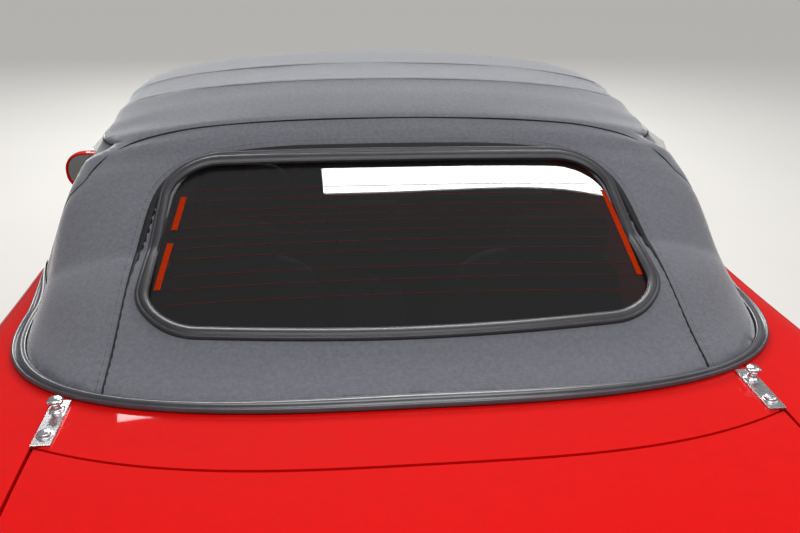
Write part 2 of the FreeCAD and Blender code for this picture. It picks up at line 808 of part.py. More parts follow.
def rear_suspension():
    y = REAR_AXLE_Y
    pieces = [box(-130, 130, y - 130, y + 130, 200, 370), box(-420, 420, y - 200, y - 150, 340, 430)]
    pieces.append(box(-420, 420, y + 140, y + 190, 340, 430))
    pieces.append(box(-90, 90, y - 160, y + 150, 330, 400))
    for side in (1, -1):
        shaft = rod(V(120, y, AXLE_Z), V(640, y, AXLE_Z), 15)
        carrier = box(628, 668, y - 45, y + 45, 205, 375)
        spindle = rod(V(660, y, AXLE_Z), V(REAR_WHEEL_X + 58, y, AXLE_Z), SPINDLE_RADIUS)
        lower = arm_plate(y, (100, 110), (640, 40), 195, 28)
        upper = arm_plate(y, (380, 160), (640, 30), 345, 22)
        damper = rod(V(540, y, 215), V(520, y, 425), DAMPER_RADIUS)
        for piece in (shaft, carrier, spindle, lower, upper, damper):
            pieces.append(piece if side > 0 else mirrored(piece))
    return fused(pieces)


EXHAUST_RADIUS = 24


def exhaust():
    route = (
        V(-45, -250, 215), V(-45, 620, 215), V(-230, 860, 165), V(-230, 1330, 165), V(-230, 1500, 240),
    )
    pieces = [rod(V(-380, 1500, 258), V(250, 1500, 258), 68), box(-100, 0, 1485, 1515, 300, 330)]
    for start, end in zip(route, route[1:]):
        pieces.append(rod(start, end, EXHAUST_RADIUS))
        if start.y > 0:
            pieces.append(Part.makeSphere(EXHAUST_RADIUS, start))
    tail = (V(-330, 1500, 230), V(-330, 1690, 168), V(-330, 1950, 168))
    pieces.append(rod(tail[0], tail[1], 26))
    pieces.append(rod(tail[1], tail[2], 26))
    return fused(pieces)


# Cabin

def door_glass():
    outer = []
    inner = []
    for k in range(5):
        t = k / 4
        row = []
        for m in range(4):
            z = blend(812, 1118, m / 3)
            front = -585 + (z - 840) * 1.26
            rear = 388 - (z - 840) * 0.05
            row.append(V(glass_x(z), blend(front, rear, t), z))
        outer.append(row)
        inner.append([p - V(5, 0, 0) for p in row])
    return slab(outer, inner)


MIRROR = V(816, -340, 846)
MIRROR_HALF_WIDTH = 61
MIRROR_HALF_HEIGHT = 55
MIRROR_FOOT_X = 731
MIRROR_FOOT_THICK = 27

# Sections of the mirror's shell, from its open rear to its nose: place along the car and scale
MIRROR_SECTIONS = ((-312, 1.0), (-328, 1.02), (-346, 0.95), (-362, 0.80), (-374, 0.55), (-379, 0.30))


def mirror_section(y, scale):
    """An upright ellipse across the car."""
    points = []
    for k in range(24):
        turn = math.radians(15 * k)
        across = MIRROR_HALF_WIDTH * scale * math.cos(turn)
        rise = MIRROR_HALF_HEIGHT * scale * math.sin(turn)
        points.append(V(MIRROR.x + across, y, MIRROR.z + rise))
    line = Part.BSplineCurve()
    line.interpolate(points, PeriodicFlag=True)
    return Part.Wire([line.toShape()])


def mirror():
    """Shell of a door mirror on an arm from a foot at the front corner of the door glass."""
    shell = Part.makeLoft([mirror_section(y, scale) for y, scale in MIRROR_SECTIONS], True)
    x = MIRROR_FOOT_X
    foot_outline = [V(x, -400, 838), V(x, -285, 838), V(x, -305, 884), V(x, -370, 884)]
    foot = prism(foot_outline, V(MIRROR_FOOT_THICK, 0, 0))
    arm = box(x + 14, MIRROR.x, MIRROR.y - 15, MIRROR.y + 15, MIRROR.z, MIRROR.z + 26)
    return fused([shell, foot, arm])


STEERING_WHEEL = V(300, -190, 830)


def dashboard():
    outline = (
        (-700, 790), (-700, 560), (-420, 520), (-345, 600), (-325, 740), (-385, 835), (-540, 835),
        (-585, 800),
    )
    return side_prism(outline, -590, 590)


def steering_wheel():
    centre = STEERING_WHEEL
    axis = toward(V(0, 0, 0), V(0, 0.92, 0.39))
    rim_ring = Part.makeTorus(180, 14, centre, axis)
    hub = rod(centre - axis * 60, centre - axis * 4, 48)
    pieces = [rim_ring, hub]
    for turn in (90, 210, 330):
        bar = box(-14, 14, 30, 174, -22, -6)
        bar.rotate(V(0, 0, 0), V(0, 0, 1), turn)
        bar.Placement = FreeCAD.Placement(centre, FreeCAD.Rotation(V(0, 0, 1), axis)).multiply(bar.Placement)
        pieces.append(bar)
    return fused(pieces)


def seat(side):
    x = 335 * side
    cushion = box(x - 220, x + 220, -60, 430, 215, 400)
    back = side_prism(((330, 390), (430, 390), (530, 890), (450, 905)), x - 205, x + 205)
    rest = side_prism(((470, 925), (535, 912), (550, 1010), (500, 1018)), x - 110, x + 110)
    posts = box(x - 60, x + 60, 485, 515, 870, 930)
    rails = box(x - 180, x + 180, -30, 380, 170, 220)
    return fused([cushion, back, rest, posts, rails])


def centre_console():
    return box(-105, 105, -420, 450, 350, 450)


def column():
    centre = STEERING_WHEEL
    axis = toward(V(0, 0, 0), V(0, 0.92, 0.39))
    return rod(centre - axis * 300, centre - axis * 66, 34)


# Lamps, brackets and the plate's holes

def outline_prism(corners, radius, y, depth):
    """A rounded outline of (x, z) corners pushed along Y from y to y + depth."""
    return Part.Face(rounded([V(x, y, z) for x, z in corners], radius)).extrude(V(0, depth, 0))


def headlamp_prism():
    return outline_prism(((455, 548), (700, 530), (748, 640), (500, 628)), 42, -2100, 560)


def tail_lamp_prism():
    return outline_prism(((470, 640), (820, 640), (820, 770), (500, 770)), 45, 1640, 400)


def deck_bracket():
    """Steel plate on the deck with a headed stud and a screw, for a hard roof."""
    plate = box(BRACKET_X - 28, BRACKET_X, BRACKET_Y, BRACKET_Y + 107, 895.5, 898.5)
    stud = rod(V(BRACKET_X - 14, BRACKET_Y + 26, 897), V(BRACKET_X - 14, BRACKET_Y + 26, 914), 6)
    head = rod(V(BRACKET_X - 14, BRACKET_Y + 26, 912), V(BRACKET_X - 14, BRACKET_Y + 26, 919), 11)
    screw = rod(V(BRACKET_X - 14, BRACKET_Y + 84, 897), V(BRACKET_X - 14, BRACKET_Y + 84, 902), 9)
    return fused([plate, stud, head, screw])


def pair(shape):
    return Part.makeCompound([shape, mirrored(shape)])


def without(shape, others):
    for other in others:
        shape = shape.cut(other)
    return shape


parts = {}


def both(name, shape):
    parts[name + "_left"] = shape
    parts[name + "_right"] = mirrored(shape)


# Rear window outlines on the slope: half width low and high, up from and to, corner radius
FABRIC_OPENING = (465, 425, -233.5, 250.5, 115)
PANE_OUTLINE = (440, 419, -203.5, 202.5, 85)

moulding = belt_moulding()
opening = window_prism(*FABRIC_OPENING)
glass_opening = window_prism(*PANE_OUTLINE)
lamp_holes = {"headlamps": headlamp_prism(), "tail_lamps": tail_lamp_prism()}

parts["bonnet"] = bonnet()
parts["cowl"] = cowl()
parts["boot_lid"] = boot_lid()
bumpers = (("headlamps", "front_bumper", front_bumper()), ("tail_lamps", "rear_bumper", rear_bumper()))
for lamps, name, skin in bumpers:
    hole = lamp_holes[lamps]
    parts[name] = without(skin, [hole, mirrored(hole)])
    parts[lamps] = pair(skin.common(hole))
parts["fenders"] = pair(fender())
parts["sills"] = pair(sill())
parts["quarters"] = pair(quarter())
parts["deck_panel"] = deck_panel()
glass = door_glass()
leaf = door().cut(glass)
both("door_glass", glass)
both("door", leaf)
both("mirror", without(mirror(), [leaf, glass]))

parts["soft_top"] = without(slab(*fabric_rows(0, 20)), [under_deck(), opening, side_opening()])
parts["belt_moulding"] = moulding
parts["rear_window_frame"] = slab(*fabric_rows(7, 20)).common(opening.cut(glass_opening))
parts["rear_window"] = slab(*fabric_rows(1, 8)).common(glass_opening)
parts["deck_brackets"] = pair(deck_bracket())
parts["windscreen"] = windscreen().cut(parts["cowl"])
below = [parts[name] for name in ("windscreen", "fenders", "cowl")]
parts["windscreen_frame"] = without(windscreen_frame(), below)

parts["tub"] = tub()
parts["boot_tub"] = boot_tub().cut(parts["rear_bumper"])
parts["front_structure"] = front_structure().cut(parts["front_bumper"])
parts["engine"] = engine()
parts["front_suspension"] = front_suspension().cut(parts["front_structure"])
parts["rear_suspension"] = rear_suspension()
parts["exhaust"] = exhaust()
parts["dashboard"] = Part.makeCompound([fused([dashboard(), column()]), centre_console()])
parts["seats"] = pair(seat(1))
parts["steering_wheel"] = steering_wheel()
both("knuckle", knuckle())
both("tie_rod", tie_rod())
for end, x, y in (("front", FRONT_WHEEL_X, FRONT_AXLE_Y), ("rear", REAR_WHEEL_X, REAR_AXLE_Y)):
    both("tyre_" + end, tyre(x, y))
    both("rim_" + end, rim(x, y))

os.makedirs("parts", exist_ok=True)
for name, shape in parts.items():
    print(name, shape.isValid(), len(shape.Solids), round(shape.Volume / 1e6, 2))
    shape.exportStep("parts/%s.step" % name)
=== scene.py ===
"""Looks of a two-seat convertible with its fabric top up.

Shapes are worked out in millimetres, in the part's own frame: the car faces -Y, +X is its
left side and the ground is z = 0. They become metres when a mesh is made.
"""
import math

import bmesh
import bpy
import numpy as np
from mathutils import Matrix, Vector


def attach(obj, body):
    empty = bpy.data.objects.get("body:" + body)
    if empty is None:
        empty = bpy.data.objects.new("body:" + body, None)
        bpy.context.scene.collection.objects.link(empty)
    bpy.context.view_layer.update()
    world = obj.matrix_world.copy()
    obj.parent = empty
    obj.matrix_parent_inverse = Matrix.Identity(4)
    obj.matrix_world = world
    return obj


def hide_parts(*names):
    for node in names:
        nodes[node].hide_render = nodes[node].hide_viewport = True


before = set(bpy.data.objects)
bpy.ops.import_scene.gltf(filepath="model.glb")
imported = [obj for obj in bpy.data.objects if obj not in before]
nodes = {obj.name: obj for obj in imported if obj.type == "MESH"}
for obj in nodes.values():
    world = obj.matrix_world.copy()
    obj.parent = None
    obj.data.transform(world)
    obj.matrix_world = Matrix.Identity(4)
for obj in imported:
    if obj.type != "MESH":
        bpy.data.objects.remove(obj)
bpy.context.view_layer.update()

MM = 0.001

# Camera of the photograph: place in metres, then heading, tilt below level and roll in degrees
CAMERA_PLACE = (0.1390, 1.9394, 1.5839)
CAMERA_HEADING = 173.83
CAMERA_TILT = 25.374
CAMERA_ROLL = 0.899
CAMERA_LENS = 35.034

# The fabric top, as in the part
DECK_Z = 902.6
DECK_CROWN = 31e-6
HEADER_Y = -215
ROOF_CROWN = 84e-6
FABRIC_POWER = 2.93
BACK_LINE = (
    (840, 1085), (860, 1060), (903, 985), (925, 915), (950, 850), (1031.7, 649.3), (1128, 418),
    (1203, 300),
)
ROOF_LINE = (
    (-260, 1177), (-100, 1233), (60, 1233), (250, 1212), (350, 1181), (430, 1148), (640, 1030),
)
FABRIC_ROWS = (
    (HEADER_Y, HEADER_Y), (-80, -80), (60, 60), (200, 210), (300, 325), (360, 410), (440, 510),
    (560, 620), (700, 740), (840, 850), (925, 915), (980, 955), (1035, 990),
)
WINDOW_MIDDLE = np.array((0, 649.3, 1031.7))
SLOPE = np.array((0, -1, 0.415)) / math.hypot(1, 0.415)
SLOPE_OUT = np.array((0, 0.415, 1)) / math.hypot(1, 0.415)
SIDE_TOP_Z = 1125
SIDE_REAR_LOW_Y = 401
SIDE_REAR_HIGH_Y = 381
SIDE_LOW_Z = 700
SIDE_CORNER = 24

# Window outlines on the slope: half width low and high, up from and to, corner radius
OPENING = (465, 425, -233.5, 250.5, 115)
GLASS = (436, 420, -212, 209, 88)
FRAME = (462, 438, -237, 241, 112)
WINDOW_BOW = 1.8e-4
CLOTH_UNDER_FRAME = 16

# Bows that carry the fabric, by their place along the roof
REAR_BOW_Y = 358
BOWS = (-205, 75, 195, REAR_BOW_Y)
BOW_SAGS = (7, 4.5, 6.5)

# The piped seam over the rear bow: its place along the car, by height
BOW_SEAM = (
    (890, 506), (960, 500), (1020, 487), (1060, 466), (1077, 452), (1091, 431), (1104, 411),
    (1118, 390), (1133, 374), (1145, 366), (1157, 361), (1240, 359),
)

# Height of the middle that the fabric's sections are seen from
SECTION_Z = 700
UPRIGHT = np.array((0, 0, 1))
SIDEWAYS = np.array((1, 0, 0))
HANDS = (("left", 1), ("right", -1))


def curve(table, at):
    """A smooth line through a short table of (position, value) rows."""
    places, values = np.array(table, float).T
    low = np.maximum(np.arange(len(places)) - 1, 0)
    high = np.minimum(np.arange(len(places)) + 1, len(places) - 1)
    slopes = (values[high] - values[low]) / (places[high] - places[low])
    at = np.clip(at, places[0], places[-1])
    k = np.clip(np.searchsorted(places, at) - 1, 0, len(places) - 2)
    span = places[k + 1] - places[k]
    t = (at - places[k]) / span
    return (
        values[k] * (1 + 2 * t) * (1 - t) ** 2
        + slopes[k] * span * t * (1 - t) ** 2
        + values[k + 1] * t * t * (3 - 2 * t)
        + slopes[k + 1] * span * t * t * (t - 1)
    )


def smooth_step(t):
    t = np.clip(t, 0, 1)
    return t * t * (3 - 2 * t)


def bell(distance, width):
    """One at distance zero, falling to nothing over about twice the width."""
    return np.exp(-(distance / width) ** 2)


def smooth_max(a, b, radius):
    reach = np.maximum(radius - np.abs(a - b), 0)
    return np.maximum(a, b) + reach * reach / (4 * radius)


def deck_height(x):
    return DECK_Z - DECK_CROWN * x * x


def fabric_width(y, z):
    rise = z - 900
    glass = 700 - 0.42 * rise - 0.00025 * rise * rise
    narrow = 651 - 0.261 * rise - 0.000136 * rise * rise
    return glass + (narrow - glass) * smooth_step((y - 400) / 240)


def fabric(p):
    """Below zero inside the fabric top, above zero outside."""
    x, y, z = p[..., 0], p[..., 1], p[..., 2]
    wide = fabric_width(y, z)
    start = 600 - 1.01 * (z - 900)
    reach = np.maximum(curve(BACK_LINE, z) - start, 60)
    past = np.maximum(y - start, 0)
    q = (np.abs(x) / wide) ** FABRIC_POWER + (past / reach) ** FABRIC_POWER
    side = (q ** (1 / FABRIC_POWER) - 1) * np.minimum(wide, reach)
    top = z - (curve(ROOF_LINE, y) - ROOF_CROWN * x * x)
    return smooth_max(side, top, 50)


def points_at(x, y, z):
    """Points from coordinates, each a number or an array."""
    return np.stack(np.broadcast_arrays(np.asarray(x, float), y, z), -1)


def hit(origin, ray, far=1500):
    """Points where rays from inside leave the fabric top."""
    origin, ray = np.broadcast_arrays(np.asarray(origin, float), ray)
    near = np.zeros(ray.shape[:-1])
    end = np.full(ray.shape[:-1], float(far))
    for _ in range(36):
        middle = (near + end) / 2
        inside = fabric(origin + ray * middle[..., None]) < 0
        near = np.where(inside, middle, near)
        end = np.where(inside, end, middle)
    return origin + ray * near[..., None]


def unit(v):
    v = np.asarray(v, float)
    return v / np.maximum(np.linalg.norm(v, axis=-1, keepdims=True), 1e-9)


def gradient(field, p, step=0.5):
    """How fast a field of points grows along each axis."""
    value = field(p)
    return np.stack([(field(p + axis * step) - value) / step for axis in np.eye(3)], -1)


def surface_normals(points):
    """Outward directions of the fabric's smooth form."""
    return unit(gradient(fabric, points))


def over_slope(x, up, out):
    """Points over the window's plane, by distance across it, up it and out from it."""
    x, up, out = (v[..., None] for v in np.broadcast_arrays(np.asarray(x, float), up, out))
    return WINDOW_MIDDLE + up * SLOPE + out * SLOPE_OUT + x * SIDEWAYS


def on_slope(x, up, lift=0):
    """Points on the sloping back, by distance from the middle and distance up the slope."""
    return hit(over_slope(x, up, -90), SLOPE_OUT, 180) + lift * SLOPE_OUT


def slope_up(p):
    return (p - WINDOW_MIDDLE) @ SLOPE


def on_side(y, z):
    """Points on the fabric's left side, by place along the car and height."""
    return hit(points_at(0, y, z), SIDEWAYS)


def on_section(y, turn):
    """Points on the fabric, by place along the car and angle from upright about its section."""
    return hit(points_at(0, y, SECTION_Z), points_at(np.sin(turn), 0, np.cos(turn)))


# Making meshes

def placed(name, data):
    """An object made from its data and put into the scene."""
    obj = bpy.data.objects.new(name, data)
    bpy.context.scene.collection.objects.link(obj)
    return obj


def mesh_object(name, points, faces, look, body="root", smooth=True):
    """A piece on a body, with its faces turned outward and its look."""
    mesh = bpy.data.meshes.new(name)
    mesh.from_pydata((np.asarray(points, float).reshape(-1, 3) * MM).tolist(), [], faces)
    mesh.validate()
    if smooth:
        mesh.shade_smooth()
    mesh.materials.append(look)
    obj = placed(name, mesh)
    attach(obj, body)
    bm = bmesh.new()
    bm.from_mesh(mesh)
    bmesh.ops.recalc_face_normals(bm, faces=bm.faces)
    bm.to_mesh(mesh)
    bm.free()
    return obj


def grid_faces(rows, columns, wrap_rows=False, wrap_columns=False):
    faces = []
    for i in range(rows if wrap_rows else rows - 1):
        for j in range(columns if wrap_columns else columns - 1):
            a = i * columns + j
            b = i * columns + (j + 1) % columns
            c = (i + 1) % rows * columns + (j + 1) % columns
            d = (i + 1) % rows * columns + j
            faces.append((a, b, c, d))
    return faces


def crossways(axis):
    """A direction square to an axis."""
    return unit(np.cross(axis, UPRIGHT if abs(axis[2]) < 0.9 else SIDEWAYS))


def tube_mesh(path, radius, sides=10):
    """Points and faces of a round bar along a path of points, with flat ends."""
    path = np.asarray(path, float)
    count = len(path)
    along = unit(np.gradient(path, axis=0))
    across = [crossways(along[0])]
    for k in range(1, count):
        turned = across[-1] - along[k] * np.dot(across[-1], along[k])
        across.append(unit(turned))
    across = np.array(across)
    beyond = np.cross(along, across)
    turn = np.linspace(0, 2 * math.pi, sides, endpoint=False)
    radius = np.broadcast_to(np.asarray(radius, float), count)[:, None, None]
    c, s = np.cos(turn)[None, :, None], np.sin(turn)[None, :, None]
    points = (path[:, None] + radius * (c * across[:, None] + s * beyond[:, None])).reshape(-1, 3)
    return points, grid_faces(count, sides, False, True) + row_ends(count, sides)


def row_ends(rows, columns):
    """The faces that close the first and last row of a grid wrapped round its columns."""
    return [tuple(range(columns)), tuple(range((rows - 1) * columns, rows * columns))]


def joined(name, parts, look, body="root", smooth=True):
    """One object from several (points, faces) meshes."""
    points = []
    faces = []
    for part_points, part_faces in parts:
        start = len(points)
        points.extend(np.asarray(part_points, float).reshape(-1, 3).tolist())
        faces.extend(tuple(i + start for i in face) for face in part_faces)
    return mesh_object(name, points, faces, look, body, smooth)


def lathe(profile, centre, axis, segments):
    """Points and faces of rows of (radius, distance along the axis) turned about it."""
    axis = unit(axis)
    first = crossways(axis)
    second = np.cross(axis, first)
    turn = np.linspace(0, 2 * math.pi, segments, endpoint=False)
    circle = np.cos(turn)[:, None] * first + np.sin(turn)[:, None] * second
    points = []
    for radius, along in profile:
        points.append(np.asarray(centre, float) + axis * along + circle * radius)
    faces = grid_faces(len(profile), segments, False, True)
    return np.array(points).reshape(-1, 3), faces


def block(centre, size, radius, segments=3):
    """Points and faces of a box with rounded edges."""
    bm = bmesh.new()
    bmesh.ops.create_cube(bm, size=1.0)
    bmesh.ops.scale(bm, vec=size, verts=bm.verts[:])
    bmesh.ops.bevel(bm, geom=bm.edges[:], offset=radius, segments=segments, profile=0.5,
                    affect="EDGES")
    bm.verts.index_update()
    points = np.array([v.co for v in bm.verts]) + np.asarray(centre, float)
    faces = [tuple(v.index for v in f.verts) for f in bm.faces]
    bm.free()
    return points, faces


def mirrored(mesh):
    points, faces = mesh
    return np.asarray(points) * (-1, 1, 1), [tuple(reversed(f)) for f in faces]


def rounded_loop(corners, radius, arc_points=14, straight_points=30):
    """Points round a closed outline in a plane, each corner an arc."""
    corners = np.asarray(corners, float)
    count = len(corners)
    arcs = []
    for k in range(count):
        before = unit(corners[k - 1] - corners[k])
        after = unit(corners[(k + 1) % count] - corners[k])
        half = math.acos(np.clip(before @ after, -1, 1)) / 2
        centre = corners[k] + unit(before + after) * radius / math.sin(half)
        start = corners[k] + before * radius / math.tan(half) - centre
        stop = corners[k] + after * radius / math.tan(half) - centre
        share = np.linspace(0, 1, arc_points)[:, None]
        angle = math.pi - 2 * half
        swing = start * np.sin((1 - share) * angle) + stop * np.sin(share * angle)
        arcs.append(centre + swing / math.sin(angle))
    points = []
    for k in range(count):
        points.extend(arcs[k])
        end, start = arcs[(k + 1) % count][0], arcs[k][-1]
        for share in np.linspace(0, 1, straight_points + 2)[1:-1]:
            points.append(start + (end - start) * share)
    return np.array(points)


def window_corners(outline):
    half_low, half_high, low, high = outline[:4]
    return ((-half_low, low), (half_low, low), (half_high, high), (-half_high, high))


def low_edge_bow(x, up):
    """How far the window's lower edge rises towards its ends."""
    return WINDOW_BOW * x * x * np.clip(-up / 200, 0, 1)


def window_loop(outline):
    """Points round a window outline as (distance from the middle, distance up the slope)."""
    loop = rounded_loop(window_corners(outline), outline[4])
    loop[:, 1] += low_edge_bow(loop[:, 0], loop[:, 1])
    return loop


def outside_rounded(x, y, corners, radius):
    """Signed distance from a convex outline with rounded corners, above zero outside."""
    p = np.stack(np.broadcast_arrays(x, y), -1).astype(float)
    corners = np.asarray(corners, float)
    middle = corners.mean(0)
    walls = []
    for k in range(len(corners)):
        a, b = corners[k], corners[(k + 1) % len(corners)]
        normal = unit(np.array((b[1] - a[1], a[0] - b[0])))
        if normal @ (a - middle) < 0:
            normal = -normal
        walls.append((p - a) @ normal + radius)
    walls = np.stack(walls, -1)
    deepest = walls.max(-1)
    outer = np.sqrt((np.maximum(walls, 0) ** 2).sum(-1))
    return np.where(deepest > 0, outer, deepest) - radius


# Materials


def add_node(tree, kind, inputs, **settings):
    """A shader node with its settings, each input a value or another node's output."""
    made = tree.nodes.new("ShaderNode" + kind)
    for name, value in settings.items():
        setattr(made, name, value)
    for socket, value in inputs.items():
        if isinstance(value, bpy.types.NodeSocket):
            tree.links.new(value, made.inputs[socket])
        else:
            made.inputs[socket].default_value = value
    return made


def material(name, slot, colour, roughness, mottle, grain=None, **more):
    """A principled material with named extras. Mottle and grain are (size in mm, amount)."""
    made = bpy.data.materials.new(name)
    made.use_nodes = True
    tree = made.node_tree
    shader = tree.nodes["Principled BSDF"]
    sockets = {"Base Color": (*colour, 1), "Roughness": roughness, **more.get("sockets", {})}
    for socket, value in sockets.items():
        shader.inputs[socket].default_value = value
    place = add_node(tree, "TexCoord", {}).outputs["Object"]
    size, amount = mottle
    noise = add_node(tree, "TexNoise", {"Vector": place, "Scale": 1 / MM / size, "Detail": 5})
    ramp = add_node(tree, "ValToRGB", {"Fac": noise.outputs["Fac"]})
    for element, position, share in zip(ramp.color_ramp.elements, (0.3, 0.7), (1 - amount, 1 + amount)):
        element.position = position
        element.color = (*[min(c * share, 1) for c in colour], 1)
    tree.links.new(ramp.outputs["Color"], shader.inputs["Base Color"])
    limits = {"To Min": roughness * 0.85, "To Max": min(roughness * 1.15, 1)}
    rough = add_node(tree, "MapRange", {"Value": noise.outputs["Fac"], **limits})
    tree.links.new(rough.outputs["Result"], shader.inputs["Roughness"])
    height = None
    if "weave" in more:
        height, depth = weave(tree, place, *more["weave"]), 1
    elif grain:
        size, depth = grain
        fine = add_node(tree, "TexNoise", {"Vector": place, "Scale": 1 / MM / size, "Detail": 3})
        height = fine.outputs["Fac"]
    if height is not None:
        strength = more.get("bump", 0.3)
        bump = add_node(tree, "Bump", {"Strength": strength, "Distance": depth * MM, "Height": height})
        tree.links.new(bump.outputs["Normal"], shader.inputs["Normal"])
    return made


def weave(tree, place, thread, slub):
    """Height of a plain cloth weave: two crossing bands and some unevenness."""
    bands = []
    for axis in ("X", "Y"):
        scale = 1 / MM / thread / (2 * math.pi)
        wave = add_node(tree, "TexWave", {"Vector": place, "Scale": scale, "Distortion": 1.5, "Detail": 2},
                        wave_type="BANDS", bands_direction=axis)
        bands.append(wave.outputs["Fac"])
    crossed = add_node(tree, "Math", {0: bands[0], 1: bands[1]}, operation="ADD")
    noise = add_node(tree, "TexNoise", {"Vector": place, "Scale": 1 / MM / slub, "Detail": 6})
    mixed = add_node(tree, "Math", {0: noise.outputs["Fac"], 1: 1.6, 2: crossed.outputs[0]},
                     operation="MULTIPLY_ADD")
    return mixed.outputs[0]


METAL = {"Metallic": 1}
COAT = {"Coat Weight": 1, "Coat Roughness": 0.03}
PAINT_COAT = {"Coat Weight": 0.7, "Coat Roughness": 0.02, "Coat IOR": 1.35, "Specular IOR Level": 0.01}
SHEEN = {"Sheen Weight": 1, "Sheen Roughness": 0.3, "Specular IOR Level": 0.15}
DULL = {"Specular IOR Level": 0.02}
TINTED = {"Alpha": 0.62, "Specular IOR Level": 1}
CLEAR = {"Alpha": 0.22, "Specular IOR Level": 1}
paint = material("red_paint", "paint", (0.58, 0.004, 0.003), 0.6, (25, 0.03), (3, 0.04), bump=0.04,
                 sockets=PAINT_COAT)
cloth = material("top_fabric", "fabric_top", (0.140, 0.143, 0.162), 0.9, (7, 0.12), weave=(1.5, 2.4),
                 bump=0.28, sockets=SHEEN)
# Near black: the real piping over the rear bow, and painted shade in the recess round the rear window.
piping_and_shade_look = material("dark_piping_and_painted_shade", "fabric_top", (0.006, 0.006, 0.007), 0.6, (5, 0.2), (1.5, 0.3),
                   sockets={"Specular IOR Level": 0.3})
thread_look = material("thread", "fabric_top", (0.03, 0.03, 0.033), 0.7, (3, 0.2), (0.8, 0.3))
rubber = material("black_rubber", "black_trim", (0.016, 0.016, 0.018), 0.3, (30, 0.25), (1.2, 0.1),
                  bump=0.15)
belt_look = material("belt_rubber", "black_trim", (0.055, 0.056, 0.065), 0.33, (30, 0.15), (1.2, 0.05),
                     bump=0.1, sockets={"Specular IOR Level": 0.9})
satin = material("satin_black", "black_trim", (0.026, 0.026, 0.031), 0.42, (20, 0.15), (1.5, 0.05))
glass_look = material("tinted_glass", "clear_glass", (0.010, 0.009, 0.009), 0.006, (200, 0.05),
                      sockets=TINTED)
clear_look = material("clear_glass", "clear_glass", (0.10, 0.12, 0.115), 0.01, (200, 0.02), sockets=CLEAR)
heater_look = material("heater_bars", "black_trim", (0.33, 0.020, 0.001), 0.8, (4, 0.2), sockets=DULL)
line_look = material("heater_lines", "black_trim", (0.15, 0.020, 0.010), 0.8, (4, 0.2), sockets=DULL)
mirror_look = material("mirror_glass", "polished_steel", (0.36, 0.37, 0.38), 0.03, (40, 0.03), sockets=METAL)
steel_look = material("polished_steel", "polished_steel", (0.66, 0.66, 0.67), 0.27, (6, 0.08), sockets=METAL)
shell_look = material("dark_shell", "shell", (0.035, 0.033, 0.033), 0.6, (40, 0.3), (3, 0.4))
iron_look = material("iron", "iron", (0.10, 0.095, 0.09), 0.7, (12, 0.3), (3, 0.8),
                     sockets={"Metallic": 0.6})
alloy_look = material("alloy", "alloy", (0.62, 0.63, 0.65), 0.28, (10, 0.05), (0.8, 0.1),
                      sockets={"Metallic": 0.9})
tyre_look = material("tyre_rubber", "tyre", (0.02, 0.02, 0.021), 0.75, (15, 0.25), (1.5, 0.3))
plastic_look = material("cabin_plastic", "cabin_plastic", (0.03, 0.03, 0.032), 0.55, (8, 0.2), (0.9, 0.5))
leather_look = material("seat_leather", "seat_leather", (0.035, 0.034, 0.035), 0.45, (14, 0.2), (1.8, 0.9),
                        bump=0.4)
red_lens = material("red_lens", "lamp", (0.42, 0.008, 0.006), 0.08, (3, 0.1),
                    sockets={"Coat Weight": 1, "Transmission Weight": 0.25})
amber_lens = material("amber_lens", "lamp", (0.75, 0.20, 0.01), 0.1, (3, 0.1), sockets=COAT)
clear_lens = material("clear_lens", "lamp", (0.62, 0.64, 0.66), 0.08, (3, 0.08),
                      sockets={"Coat Weight": 1, "Transmission Weight": 0.3})
plate_look = material("blank_plate", "black_trim", (0.78, 0.78, 0.76), 0.4, (12, 0.04), (2, 0.05))

# Which finish each CAD node takes, by how its name starts
FINISHES = (
    (paint, ("bonnet", "cowl", "boot_lid", "front_bumper", "rear_bumper", "fenders", "sills",
             "quarters", "deck_panel", "door_left", "door_right", "mirror")),
    (glass_look, ("rear_window",)),
    (clear_look, ("windscreen", "door_glass")),
    (satin, ("windscreen_frame", "rear_window_frame", "belt_moulding")),
    (steel_look, ("deck_brackets",)),
    (red_lens, ("tail_lamps",)),
    (clear_lens, ("headlamps",)),
    (shell_look, ("tub", "boot_tub", "front_structure")),
    (iron_look, ("engine", "front_suspension", "rear_suspension", "exhaust", "knuckle", "tie_rod")),
    (plastic_look, ("dashboard", "steering_wheel")),
    (leather_look, ("seats",)),
    (tyre_look, ("tyre",)),
    (alloy_look, ("rim",)),
    (cloth, ("soft_top",)),
)
for finish, starts in FINISHES:
    for name in nodes:
        if name.startswith(starts):
            materials = nodes[name].data.materials
            materials.clear()
            materials.append(finish)


# The fabric top

CLOTH_ROWS = 150
CLOTH_COLUMNS = 161
CLOTH_THICKNESS = 5

# The sewn U round the rear window, on the slope
U_HALF = 470
U_TOP = 253
U_FOOT = -312
U_POWER = 4.8
U_TAPER = 0.09
U_FOOT_SPREAD = 0.022

# How far the cloth stands off its smooth form, in mm
LAP_LIFT = 1.8
RECESS_DEPTH = 7
FOOT_RECESS_DEPTH = 1.2
SEAM_DEPTH = 1.6
STITCH_DEPTH = 0.8
FOLD_HEIGHT = 1.3
EASE_HEIGHT = 0.55
PULL_HEIGHT = 0.7

# Outline of the opening at each side, as places along the car and heights
SIDE_OPENING = (
    (-400, SIDE_LOW_Z), (SIDE_REAR_LOW_Y, SIDE_LOW_Z),
    (SIDE_REAR_HIGH_Y, SIDE_TOP_Z), (-400, SIDE_TOP_Z),
)


def outside_u(x, up):
    """Roughly the distance outside the sewn U, above zero outside."""
    high = np.maximum(up, 0)
    half = U_HALF - U_TAPER * high + U_FOOT_SPREAD * np.maximum(-up, 0)
    q = (np.abs(x) / half) ** U_POWER + (high / U_TOP) ** U_POWER
    return (q ** (1 / U_POWER) - 1) * np.where(high > 0.6 * U_TOP, U_TOP, U_HALF)


